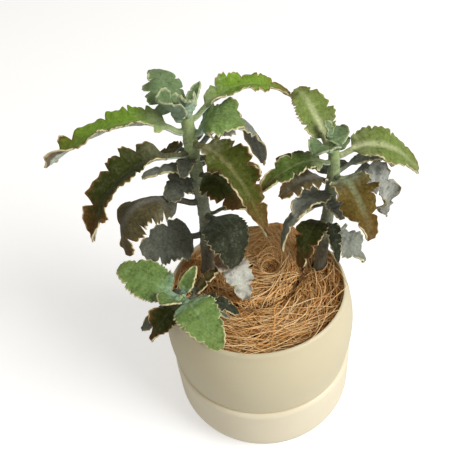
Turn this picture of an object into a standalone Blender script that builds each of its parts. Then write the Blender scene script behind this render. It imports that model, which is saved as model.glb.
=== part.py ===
"""Potted kalanchoe: three felted plants in coir mulch, in a ceramic planter on a deep saucer.

Metres, +Z up. The origin is the middle of the saucer's flat base.
"""

import math

import bmesh
import bpy
from mathutils import Vector
from mathutils.bvhtree import BVHTree

MM = 0.001
GAP = 0.3 * MM

# Driving dimensions of the pot
POT_RADIUS = 70 * MM
RIM_HEIGHT = 121 * MM
SEAM_HEIGHT = 56 * MM
RIM_OUTER = 65.5 * MM
RIM_INNER = 63.3 * MM
BELLY_RADIUS = 70.8 * MM
BASE_RADIUS = 47 * MM
SAUCER_WALL = 3.6 * MM
SAUCER_FLOOR = 4 * MM
PLANTER_FLOOR_LOW = 6.5 * MM
PLANTER_FLOOR_HIGH = 11.5 * MM
DRAIN_RADIUS = 5.5 * MM
TURNED_STEPS = 40

# Driving dimensions of the filling
SOIL_TOP = 103 * MM
COIR_TOP = 112 * MM

# Driving dimensions of a leaf
HOLE_CLEARANCE = 0.9 * MM
HOLE_UNDERCUT = 0.6 * MM
HOLE_LENGTH = 60 * MM
LEAF_THICKNESS = 2.2 * MM
PETIOLE_SHARE = 0.12
PETIOLE_LEAST = 1.0 * MM
PETIOLE_GROWTH = 0.085
LEAF_CLEARANCE = 0.5 * MM

# Each stem: its points in millimetres from the coir upwards, and its radius at each
STEMS = {
    "tall_stem": ([(-34, 26, 88), (-34, 26, 112), (-30, 30, 165), (-32, 31, 225), (-32, 32, 243)],
                  [5.0, 5.4, 4.8, 4.8, 4.0]),
    "right_stem": ([(50, 13, 88), (50, 13, 112), (56, 17, 160), (60, 20, 196), (60, 23, 215)],
                   [4.6, 4.8, 4.3, 4.2, 3.4]),
    "low_stem": ([(-45, -9, 88), (-45, -9, 116), (-49, -15, 127), (-54, -21, 138)],
                 [2.6, 2.8, 2.6, 2.2]),
}

# Colours, linear
CREAM_UPPER = (0.72, 0.68, 0.50, 1)
CREAM_LOWER = (0.86, 0.79, 0.60, 1)
SOIL_BROWN = (0.045, 0.03, 0.02, 1)
COIR_GOLD = (0.42, 0.22, 0.09, 1)
STEM_GREY = (0.16, 0.20, 0.13, 1)
LEAF_COLOURS = {
    "green": (0.13, 0.26, 0.08, 1),
    "young": (0.18, 0.29, 0.15, 1),
    "olive": (0.09, 0.12, 0.03, 1),
    "brown": (0.10, 0.06, 0.025, 1),
    "grey": (0.13, 0.16, 0.14, 1),
    "silver": (0.42, 0.45, 0.43, 1),
}

# Each leaf: name, stem, height of its node, azimuth in degrees, middle and tip of its midrib
# as (reach, rise) from the node, half width, fold of its halves upwards and roll about the
# midrib in degrees, teeth a side, colour. Lengths are in millimetres. The leaves that
# matter most come first, because a later leaf leans aside where an earlier one is in its way.
LEAVES = [
    ("tall_leaf_long_left", "tall_stem", 234, 186, (41, 12), (92, -5), 15.5, 34, 6, 6, "green"),
    ("tall_leaf_back_right", "tall_stem", 241, 19, (38, 12), (75, -4), 10.5, 34, 10, 5, "green"),
    ("tall_leaf_front_right", "tall_stem", 226, 309, (34, -6), (62, -40), 14, 34, 0, 5, "olive"),
    ("tall_leaf_arched_left", "tall_stem", 219, 208, (50, 3), (80, -31), 15, 34, 4, 5, "olive"),
    ("right_leaf_long", "right_stem", 206, 3, (33, 2), (62, -24), 14, 14, 24, 4, "green"),
    ("right_leaf_upright", "right_stem", 210, 118, (21, 20), (37, 31), 14, 12, 0, 4, "green"),
    ("right_leaf_left", "right_stem", 203, 197, (27, 6), (54, -4), 10, 24, -14, 4, "green"),
    ("right_leaf_golden", "right_stem", 193, 291, (22, -1), (45, -25), 15, 12, 0, 4, "brown"),
    ("low_leaf_left", "low_stem", 137, 149, (24, 9), (47, 15), 15, 8, -6, 4, "green"),
    ("low_leaf_front", "low_stem", 137, 300, (20, 3), (44, -10), 14.5, 8, 0, 4, "green"),
    ("tall_leaf_broad", "tall_stem", 232, 350, (18, 13), (37, 8), 17, 8, 0, 3, "green"),
    ("tall_leaf_claw", "tall_stem", 243, 118, (19, 10), (28, 23), 14, 16, 0, 3, "young"),
    ("tall_leaf_cupped", "tall_stem", 243, 200, (10, 8), (18, 16), 12, 26, 0, 2, "young"),
    ("tall_leaf_curly", "tall_stem", 246, 283, (7, 9), (14, 15), 10, 20, 0, 2, "young"),
    ("tall_leaf_small_back", "tall_stem", 243, 58, (12, 8), (23, 12), 8, 20, 0, 2, "young"),
    ("tall_leaf_hooked_back", "tall_stem", 221, 25, (38, 8), (58, -34), 11, -14, 0, 3, "grey"),
    ("tall_leaf_curled_left", "tall_stem", 180, 205, (46, 16), (68, -16), 16, -16, 0, 4, "brown"),
    ("tall_leaf_round_front", "tall_stem", 168, 297, (30, 1), (38, -27), 15.5, 4, 0, 3, "grey"),
    ("tall_leaf_grey_left", "tall_stem", 150, 193, (24, 2), (49, 2), 16, -8, -34, 3, "grey"),
    ("tall_leaf_dark_front", "tall_stem", 202, 312, (20, 3), (41, -8), 14, -12, 0, 3, "olive"),
    ("tall_leaf_silver", "tall_stem", 140, 306, (36, 3), (47, -19), 15, 6, 0, 3, "silver"),
    ("tall_leaf_tip_right", "tall_stem", 168, 341, (30, 7), (44, -18), 9, 12, 0, 2, "olive"),
    ("tall_leaf_dark_left", "tall_stem", 219, 172, (14, 4), (30, 1), 11, 10, -10, 3, "brown"),
    ("tall_leaf_narrow_left", "tall_stem", 207, 190, (18, 4), (36, 4), 7, 10, 0, 2, "grey"),
    ("tall_leaf_grey_cluster", "tall_stem", 199, 216, (15, 1), (30, -9), 13, -8, -20, 3, "grey"),
    ("tall_leaf_upper_left", "tall_stem", 213, 240, (12, 2), (23, -8), 9, 6, 0, 2, "grey"),
    ("tall_leaf_curl_right", "tall_stem", 213, 343, (26, 3), (43, -15), 8, 10, 0, 3, "olive"),
    ("tall_leaf_brown_under", "tall_stem", 227, 4, (24, 3), (38, -9), 8, 8, 0, 3, "brown"),
    ("tall_leaf_behind", "tall_stem", 196, 96, (20, 5), (38, -8), 12, 10, 0, 3, "grey"),
    ("right_leaf_round_left", "right_stem", 212, 214, (11, 8), (21, 9), 12, 14, 0, 2, "young"),
    ("right_leaf_round_front", "right_stem", 216, 276, (8, 7), (15, 6), 9, 10, 0, 2, "young"),
    ("right_leaf_small_back", "right_stem", 202, 54, (14, 14), (29, 18), 9, 14, 0, 2, "young"),
    ("right_leaf_heart", "right_stem", 218, 140, (3, 6), (6, 12), 4, 14, 0, 2, "young"),
    ("right_leaf_under_left", "right_stem", 190, 205, (26, 9), (50, 3), 12, 22, 0, 4, "brown"),
    ("right_leaf_behind_left", "right_stem", 200, 170, (20, 9), (38, 8), 10, 10, 0, 3, "brown"),
    ("right_leaf_silver", "right_stem", 184, 350, (31, 3), (40, -26), 12, 10, 22, 3, "silver"),
    ("right_leaf_curled", "right_stem", 195, 12, (28, 5), (46, -9), 10, -12, 0, 3, "grey"),
    ("right_leaf_round_low_left", "right_stem", 181, 216, (18, 5), (38, 0), 11, 8, 0, 3, "grey"),
    ("right_leaf_low_left", "right_stem", 180, 206, (21, 3), (37, -7), 8, 8, 0, 2, "grey"),
    ("right_leaf_thin", "right_stem", 172, 198, (33, 8), (46, -13), 4, 6, 0, 2, "grey"),
    ("right_leaf_pale_tip", "right_stem", 158, 227, (23, 4), (38, -17), 10, 12, 0, 3, "olive"),
    ("right_leaf_low_front", "right_stem", 156, 268, (15, 1), (25, -18), 10, 8, 0, 3, "grey"),
    ("right_leaf_mid_front", "right_stem", 172, 280, (15, 3), (29, -12), 12, 8, 0, 3, "grey"),
    ("right_leaf_low_right", "right_stem", 147, 318, (18, -1), (34, -13), 13, 4, 0, 3, "grey"),
    ("right_leaf_behind", "right_stem", 184, 82, (18, 6), (36, -8), 12, 10, 0, 3, "grey"),
    ("low_leaf_top", "low_stem", 138, 52, (9, 8), (19, 15), 9, 14, 0, 2, "green"),
    ("low_leaf_small_left", "low_stem", 141, 228, (8, 6), (15, 9), 9, 14, 0, 2, "green"),
    ("low_leaf_olive", "low_stem", 130, 226, (18, 2), (36, -6), 10, 10, 0, 3, "olive"),
    ("low_leaf_brown", "low_stem", 130, 38, (16, 7), (35, 10), 9, 10, 0, 3, "brown"),
    ("low_leaf_grey_right", "low_stem", 130, 350, (20, 4), (36, -3), 10, 10, 0, 3, "grey"),
    ("low_leaf_rim_left", "low_stem", 124, 200, (20, 2), (40, -5), 8, 8, 0, 2, "grey"),
    ("low_leaf_grey_left", "low_stem", 132, 178, (10, 0), (22, -4), 6, 8, 0, 2, "grey"),
    ("low_leaf_tiny", "low_stem", 124, 322, (18, 3), (32, 0), 5, 8, 0, 2, "grey"),
]


def clear_scene():
    for thing in list(bpy.data.objects):
        bpy.data.objects.remove(thing)


def new_collection(name):
    made = bpy.data.collections.new(name)
    bpy.context.scene.collection.children.link(made)
    return made


def principled(name, colour, roughness):
    made = bpy.data.materials.new(name)
    made.use_nodes = True
    shader = made.node_tree.nodes["Principled BSDF"]
    shader.inputs["Base Color"].default_value = colour
    shader.inputs["Roughness"].default_value = roughness
    shader.inputs["Metallic"].default_value = 0
    return made


def add_object(name, data, material, collection):
    made = bpy.data.objects.new(name, data)
    data.materials.append(material)
    collection.objects.link(made)
    return made


def mesh_from(name, points, faces):
    """A closed mesh from its points and faces, with every face turned outwards."""
    mesh = bpy.data.meshes.new(name)
    mesh.from_pydata(points, [], faces)
    shape = bmesh.new()
    shape.from_mesh(mesh)
    bmesh.ops.recalc_face_normals(shape, faces=shape.faces)
    shape.to_mesh(mesh)
    shape.free()
    mesh.shade_smooth()
    mesh.set_sharp_from_angle(angle=math.radians(50))
    return mesh


def arc(centre_r, centre_z, radius, start, end, steps):
    """Points of a circular arc in the turning plane, from one angle to another in degrees."""
    points = []
    for step in range(steps + 1):
        angle = math.radians(start + (end - start) * step / steps)
        points.append((centre_r + radius * math.cos(angle), centre_z + radius * math.sin(angle)))
    return points


def turned(name, profile, closed, material, collection):
    """A turned piece: its profile, running down its outer side, swept round the Z axis."""
    points = [(r, 0, z) for r, z in profile]
    edges = [(i, i + 1) for i in range(len(points) - 1)]
    if closed:
        edges.append((len(points) - 1, 0))
    mesh = bpy.data.meshes.new(name)
    mesh.from_pydata(points, edges, [])
    piece = add_object(name, mesh, material, collection)
    screw = piece.modifiers.new("turn", "SCREW")
    screw.steps = TURNED_STEPS
    screw.render_steps = TURNED_STEPS
    screw.use_merge_vertices = True
    screw.merge_threshold = 0.00002
    screw.use_smooth_shade = True
    return piece


def planter_inner_radius(z):
    """Radius of the planter's inner wall at a height."""
    if z >= SEAM_HEIGHT:
        rise = (z - SEAM_HEIGHT) / (RIM_HEIGHT - SEAM_HEIGHT)
        bulge = 3.2 * MM * math.sin(math.pi * rise ** 0.8)
        return 61.4 * MM + (RIM_INNER - 61.4 * MM) * rise + bulge
    return 52.5 * MM + (61.4 - 52.5) * MM * (z - PLANTER_FLOOR_HIGH) / (SEAM_HEIGHT - PLANTER_FLOOR_HIGH)


def make_saucer(collection):
    """The deep lower dish, with a rounded foot and a rounded lip."""
    lip = SAUCER_WALL / 2
    corner = POT_RADIUS - BASE_RADIUS
    inner = POT_RADIUS - SAUCER_WALL
    profile = [(0, SAUCER_FLOOR), (44 * MM, SAUCER_FLOOR)]
    profile += arc(inner - 16 * MM, SAUCER_FLOOR + 16 * MM, 16 * MM, -75, 0, 4)
    profile += arc(POT_RADIUS - lip, SEAM_HEIGHT - lip, lip, 180, 0, 4)
    profile += arc(BASE_RADIUS, corner, corner, 0, -90, 7)
    profile.append((0, 0))
    material = principled("saucer_glaze", CREAM_LOWER, 0.42)
    return turned("saucer", profile, False, material, collection)


def make_planter(collection):
    """The upper pot: a bellied wall on a shoulder, and a foot that stands inside the saucer."""
    lip = (RIM_OUTER - RIM_INNER) / 2
    shoulder = SEAM_HEIGHT + GAP
    foot = POT_RADIUS - SAUCER_WALL - 0.9 * MM
    profile = arc(RIM_INNER + lip, RIM_HEIGHT - lip, lip, 90, 0, 2)
    profile += [(68.6 * MM, 104 * MM), (BELLY_RADIUS, 84 * MM), (70.2 * MM, 68 * MM)]
    profile += [(69.3 * MM, shoulder + 1.2 * MM), (68.4 * MM, shoulder), (foot, shoulder)]
    profile += [(foot, 24 * MM), (55 * MM, PLANTER_FLOOR_LOW + 3 * MM), (50 * MM, PLANTER_FLOOR_LOW)]
    profile += [(DRAIN_RADIUS, PLANTER_FLOOR_LOW), (DRAIN_RADIUS, PLANTER_FLOOR_HIGH)]
    for z in (PLANTER_FLOOR_HIGH, 34 * MM, SEAM_HEIGHT, 68 * MM, 84 * MM, 102 * MM):
        profile.append((planter_inner_radius(z), z))
    profile += arc(RIM_INNER + lip, RIM_HEIGHT - lip, lip, 180, 135, 1)
    material = principled("planter_glaze", CREAM_UPPER, 0.45)
    return turned("planter", profile, True, material, collection)


def make_potting_mix(collection):
    """The rooted potting mix that fills the planter, hollowed over the drain hole."""
    bottom = PLANTER_FLOOR_HIGH + GAP
    side_gap = 0.8 * MM
    profile = [(0, SOIL_TOP), (planter_inner_radius(SOIL_TOP) - side_gap, SOIL_TOP)]
    for z in (84 * MM, 68 * MM, SEAM_HEIGHT, 34 * MM, bottom):
        profile.append((planter_inner_radius(z) - side_gap, z))
    hollow = DRAIN_RADIUS + 2 * MM
    profile += [(hollow, bottom), (hollow * 0.6, bottom + 6 * MM), (0, bottom + 6 * MM)]
    material = principled("potting_mix", SOIL_BROWN, 0.95)
    return turned("potting_mix", profile, False, material, collection)


def coir_height(x, y):
    """Height of the mulch: nearly level, raised towards the wall, with a twisted hump behind."""
    level = COIR_TOP + 2.5 * MM * (math.hypot(x, y) / RIM_INNER) ** 2
    away = math.hypot(x - 22 * MM, (y - 44 * MM) * 1.2)
    hump = 17 * MM * math.exp(-(away / (15 * MM)) ** 2)
    dip = math.hypot(x - 20 * MM, y - 20 * MM)
    hollow = 4 * MM * math.exp(-(dip / (9 * MM)) ** 2)
    return level + hump - hollow


def make_coir(collection):
    """The coir mulch: one matted layer on the potting mix, uneven on top."""
    rings, sectors = 7, 32
    bottom = SOIL_TOP + GAP
    radius = planter_inner_radius(COIR_TOP) - 0.9 * MM
    points = [(0, 0, coir_height(0, 0)), (0, 0, bottom)]
    for ring in range(1, rings + 1):
        for sector in range(sectors):
            angle = 2 * math.pi * sector / sectors
            r = radius * ring / rings
            x, y = r * math.cos(angle), r * math.sin(angle)
            points.append((x, y, coir_height(x, y)))
    low = len(points)
    for sector in range(sectors):
        angle = 2 * math.pi * sector / sectors
        points.append((radius * math.cos(angle), radius * math.sin(angle), bottom))
    faces = []
    for sector in range(sectors):
        after = (sector + 1) % sectors
        faces.append((0, 2 + sector, 2 + after))
        for ring in range(rings - 1):
            inner, outer = 2 + ring * sectors, 2 + (ring + 1) * sectors
            faces.append((inner + sector, outer + sector, outer + after, inner + after))
        edge = 2 + (rings - 1) * sectors
        faces.append((edge + sector, low + sector, low + after, edge + after))
        faces.append((1, low + after, low + sector))
    material = principled("coir_mulch", COIR_GOLD, 0.9)
    return add_object("coir_mulch", mesh_from("coir_mulch", points, faces), material, collection)


def cut_stem_hole(piece, stem, cutters):
    """A round hole down through the filling, a little wider than the stem that stands in it."""
    points, radii = STEMS[stem]
    x, y, low = points[0]
    bpy.ops.mesh.primitive_cylinder_add(
        vertices=16,
        radius=max(radii[:2]) * MM + HOLE_CLEARANCE,
        depth=HOLE_LENGTH,
        location=(x * MM, y * MM, low * MM - HOLE_UNDERCUT + HOLE_LENGTH / 2),
    )
    cutter = bpy.context.object
    cutter.name = f"{piece.name}_hole_for_{stem}"
    for home in list(cutter.users_collection):
        home.objects.unlink(cutter)
    cutters.objects.link(cutter)
    cutter.hide_render = True
    cutter.display_type = "WIRE"
    cut = piece.modifiers.new(f"hole_for_{stem}", "BOOLEAN")
    cut.operation = "DIFFERENCE"
    cut.object = cutter


def make_stem(name, collection):
    """A felted stem: a tapered tube that starts in the potting mix."""
    points, radii = STEMS[name]
    curve = bpy.data.curves.new(name, "CURVE")
    curve.dimensions = "3D"
    curve.bevel_depth = 1 * MM
    curve.bevel_resolution = 2
    curve.use_fill_caps = True
    spline = curve.splines.new("POLY")
    spline.points.add(len(points) - 1)
    for knot, (x, y, z), radius in zip(spline.points, points, radii):
        knot.co = (x * MM, y * MM, z * MM, 1)
        knot.radius = radius
    spline.use_smooth = True
    return add_object(name, curve, principled(f"{name}_felt", STEM_GREY, 0.8), collection)


def stem_at(name, height):
    """The stem's centre and radius at a height, in metres."""
    points, radii = STEMS[name]
    for (low, high, thick, thin) in zip(points, points[1:], radii, radii[1:]):
        if height <= high[2] or high is points[-1]:
            along = (height - low[2]) / (high[2] - low[2])
            centre = Vector(low).lerp(Vector(high), along) * MM
            return centre, (thick + (thin - thick) * along) * MM
    raise ValueError(name)


def petiole_radius(half_width):
    """Radius of a leaf's stalk, which is thicker under a wider blade."""
    return PETIOLE_LEAST + PETIOLE_GROWTH * half_width * MM


def blade_outline(along, teeth):
    """Half width of a blade, as a share of its widest, at a place from its base to its tip."""
    body = math.sin(math.pi * min(1, along * 0.95 + 0.02) ** 0.68) ** 0.6
    tooth = 0.13 * math.cos(2 * math.pi * teeth * along)
    return max(0.10, body * (1 - tooth))


def leaf_rings(spec, turn, lift, size, swell):
    """Cross-sections of a leaf from petiole to tip, each of eight points."""
    _, stem, height, azimuth, middle, tip, half_width, fold, roll, teeth, _ = spec
    centre, stem_radius = stem_at(stem, height)
    heading = math.radians(azimuth + turn)
    out = Vector((math.cos(heading), math.sin(heading), 0))
    side = Vector((-math.sin(heading), math.cos(heading), 0))
    up = Vector((0, 0, 1))
    cos_lift, sin_lift = math.cos(math.radians(lift)), math.sin(math.radians(lift))
    ends = []
    for reach, rise in (middle, tip):
        turned_reach = (reach * cos_lift - rise * sin_lift) * size * MM
        turned_rise = (reach * sin_lift + rise * cos_lift) * size * MM
        ends.append((out * turned_reach + up * turned_rise))
    stalk = petiole_radius(half_width * size)
    start = out * (stem_radius + stalk + GAP)
    control = ends[0] * 2 - (start + ends[1]) * 0.5
    petiole = PETIOLE_SHARE
    places = [0, petiole * 0.7]
    places += [petiole + (1 - petiole) * step / (2 * teeth) for step in range(2 * teeth + 1)]
    rings = []
    for place in places:
        point = start * (1 - place) ** 2 + control * (2 * place * (1 - place)) + ends[1] * place ** 2
        tangent = ((control - start) * (1 - place) + (ends[1] - control) * place).normalized()
        across, normal = side, tangent.cross(side)
        tilt = math.radians(roll) * min(1, place * 2)
        across, normal = (
            across * math.cos(tilt) + normal * math.sin(tilt),
            normal * math.cos(tilt) - across * math.sin(tilt),
        )
        if place < petiole:
            wide, bend = stalk, 0
        else:
            share = blade_outline((place - petiole) / (1 - petiole), teeth)
            wide, bend = max(stalk, half_width * size * MM * share), math.radians(fold)
        thick = (stalk if place < petiole else LEAF_THICKNESS / 2 * (1 - 0.45 * place)) + swell
        ring = []
        for u, level in ((-1, 0), (-0.5, 1), (0, 1), (0.5, 1), (1, 0), (0.5, -1), (0, -1), (-0.5, -1)):
            ring.append(
                centre
                + point
                + across * (u * (wide + swell) * math.cos(bend))
                + normal * (abs(u) * wide * math.sin(bend) + level * thick)
            )
        rings.append(ring)
    return rings


def loft_faces(ring_count, size):
    """Faces of a tube of equal rings, closed at both ends."""
    faces = [tuple(reversed(range(size)))]
    for ring in range(ring_count - 1):
        low, high = ring * size, (ring + 1) * size
        for i in range(size):
            after = (i + 1) % size
            faces.append((low + i, low + after, high + after, high + i))
    last = (ring_count - 1) * size
    faces.append(tuple(range(last, last + size)))
    return faces


def tree_of(piece):
    graph = bpy.context.evaluated_depsgraph_get()
    evaluated = piece.evaluated_get(graph)
    mesh = evaluated.to_mesh()
    points = [piece.matrix_world @ vertex.co for vertex in mesh.vertices]
    faces = [tuple(polygon.vertices) for polygon in mesh.polygons]
    evaluated.to_mesh_clear()
    return BVHTree.FromPolygons(points, faces)


def leaning_choices():
    """Turns, lifts and sizes to try, from the leaf's own place outwards."""
    yield 0, 0, 1
    for size in (1, 0.88, 0.76, 0.64):
        for lean in (3, 6, 9, 12, 15, 19, 23, 28, 34):
            for step in range(8):
                angle = math.pi * step / 4
                yield lean * math.cos(angle), lean * math.sin(angle), size


def place_leaf(spec, neighbours):
    """The leaf's cross-sections where it clears every neighbour."""
    for turn, lift, size in leaning_choices():
        rings = leaf_rings(spec, turn, lift, size, LEAF_CLEARANCE)
        points = [point for ring in rings for point in ring]
        tree = BVHTree.FromPolygons(points, loft_faces(len(rings), 8))
        if not any(tree.overlap(other) for other in neighbours):
            neighbours.append(tree)
            return leaf_rings(spec, turn, lift, size, 0)
    raise RuntimeError(f"{spec[0]} finds no clear place")


def make_leaf(spec, neighbours, materials, collection):
    """One felted leaf: petiole and toothed blade in one closed solid."""
    rings = place_leaf(spec, neighbours)
    points = [point for ring in rings for point in ring]
    mesh = mesh_from(spec[0], points, loft_faces(len(rings), 8))
    return add_object(spec[0], mesh, materials[spec[-1]], collection)


def main():
    clear_scene()
    parts = new_collection("potted_kalanchoe")
    cutters = new_collection("cutters")
    make_saucer(parts)
    planter = make_planter(parts)
    mix = make_potting_mix(parts)
    coir = make_coir(parts)
    stems = [make_stem(name, parts) for name in STEMS]
    for name in STEMS:
        cut_stem_hole(mix, name, cutters)
        cut_stem_hole(coir, name, cutters)
    bpy.context.view_layer.update()
    neighbours = [tree_of(piece) for piece in [planter, coir] + stems]
    materials = {name: principled(f"leaf_{name}", rgb, 0.8) for name, rgb in LEAF_COLOURS.items()}
    for spec in LEAVES:
        make_leaf(spec, neighbours, materials, parts)


main()
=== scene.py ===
"""Looks of a potted kalanchoe: felted, lobed leaves on three stems, coir mulch, a two-part cream pot.

Lengths in the tables are millimetres, and everything that is made is in metres, +Z up.
"""

import math

import bpy
import numpy as np
from mathutils import Matrix, Vector, noise
from mathutils.bvhtree import BVHTree
from mathutils.kdtree import KDTree


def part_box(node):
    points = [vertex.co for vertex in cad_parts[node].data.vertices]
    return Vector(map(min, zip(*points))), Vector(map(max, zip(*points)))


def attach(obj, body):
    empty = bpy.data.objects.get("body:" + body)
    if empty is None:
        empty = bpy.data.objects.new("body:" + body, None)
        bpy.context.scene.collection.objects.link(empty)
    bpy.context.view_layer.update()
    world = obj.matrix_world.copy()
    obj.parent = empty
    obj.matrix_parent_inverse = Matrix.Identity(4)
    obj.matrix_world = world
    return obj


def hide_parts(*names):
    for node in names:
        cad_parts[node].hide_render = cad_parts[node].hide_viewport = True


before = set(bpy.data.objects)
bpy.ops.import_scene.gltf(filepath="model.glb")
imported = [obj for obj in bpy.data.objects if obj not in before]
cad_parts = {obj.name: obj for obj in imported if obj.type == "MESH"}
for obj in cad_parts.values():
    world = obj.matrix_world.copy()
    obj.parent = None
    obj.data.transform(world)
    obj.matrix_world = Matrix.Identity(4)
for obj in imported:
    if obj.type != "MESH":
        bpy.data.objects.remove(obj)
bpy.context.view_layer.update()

bl_info = {
    "name": "Potted Kalanchoe",
    "version": (1, 0, 0),
    "blender": (4, 5, 0),
    "location": "View3D > Sidebar > Kalanchoe",
    "description": "Builds a felt-leaved kalanchoe in a two-part ceramic pot",
    "category": "Add Mesh",
}

MM = 0.001
BODY = "root"

# Heights and radii that the frame gives
RIM_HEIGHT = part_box("planter")[1].z
SEAM_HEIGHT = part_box("saucer")[1].z
SAUCER_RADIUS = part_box("saucer")[1].x
COIR_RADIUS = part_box("coir_mulch")[1].x
RIM_OUTER = SAUCER_RADIUS - 4.5 * MM
RIM_INNER = RIM_OUTER - 2.2 * MM
SHOULDER_RADIUS = 67.9 * MM
COIR_LEVEL = 112 * MM
EYE = np.array([14, 21]) * MM
HUMP = np.array([22, 44]) * MM
NEST = np.array([-2, 24]) * MM
NEST_RADIUS = 40.5 * MM
STRAY_AZIMUTHS = (214, 221, 228, 236, 262, 300, 322, 341, 352, 18, 97)

# The lights in metres, and the camera's film and lens in millimetres
KEY_PLACE = (2.45, -1.7, 2.0)
FILL_PLACE = (-2.2, -1.9, 1.8)
LIT_POINT = (0, 0, 0.12)
KEY_SIZE = 2.0
FILL_SIZE = 2.5
SENSOR_WIDTH = 36
LENS_LENGTH = 40.7

# Each stem: its points from the coir upwards, and its radius at each
STEMS = {
    "tall_stem": ([(-34, 26, 88), (-34, 26, 112), (-30, 30, 165), (-32, 31, 225), (-32, 32, 243)],
                  [5.0, 5.4, 4.8, 4.8, 4.0]),
    "right_stem": ([(50, 13, 88), (50, 13, 112), (56, 17, 160), (60, 20, 196), (60, 23, 215)],
                   [4.6, 4.8, 4.3, 4.2, 3.4]),
    "low_stem": ([(-45, -9, 88), (-45, -9, 116), (-49, -15, 127), (-54, -21, 138)],
                 [2.6, 2.8, 2.6, 2.2]),
}

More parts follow.
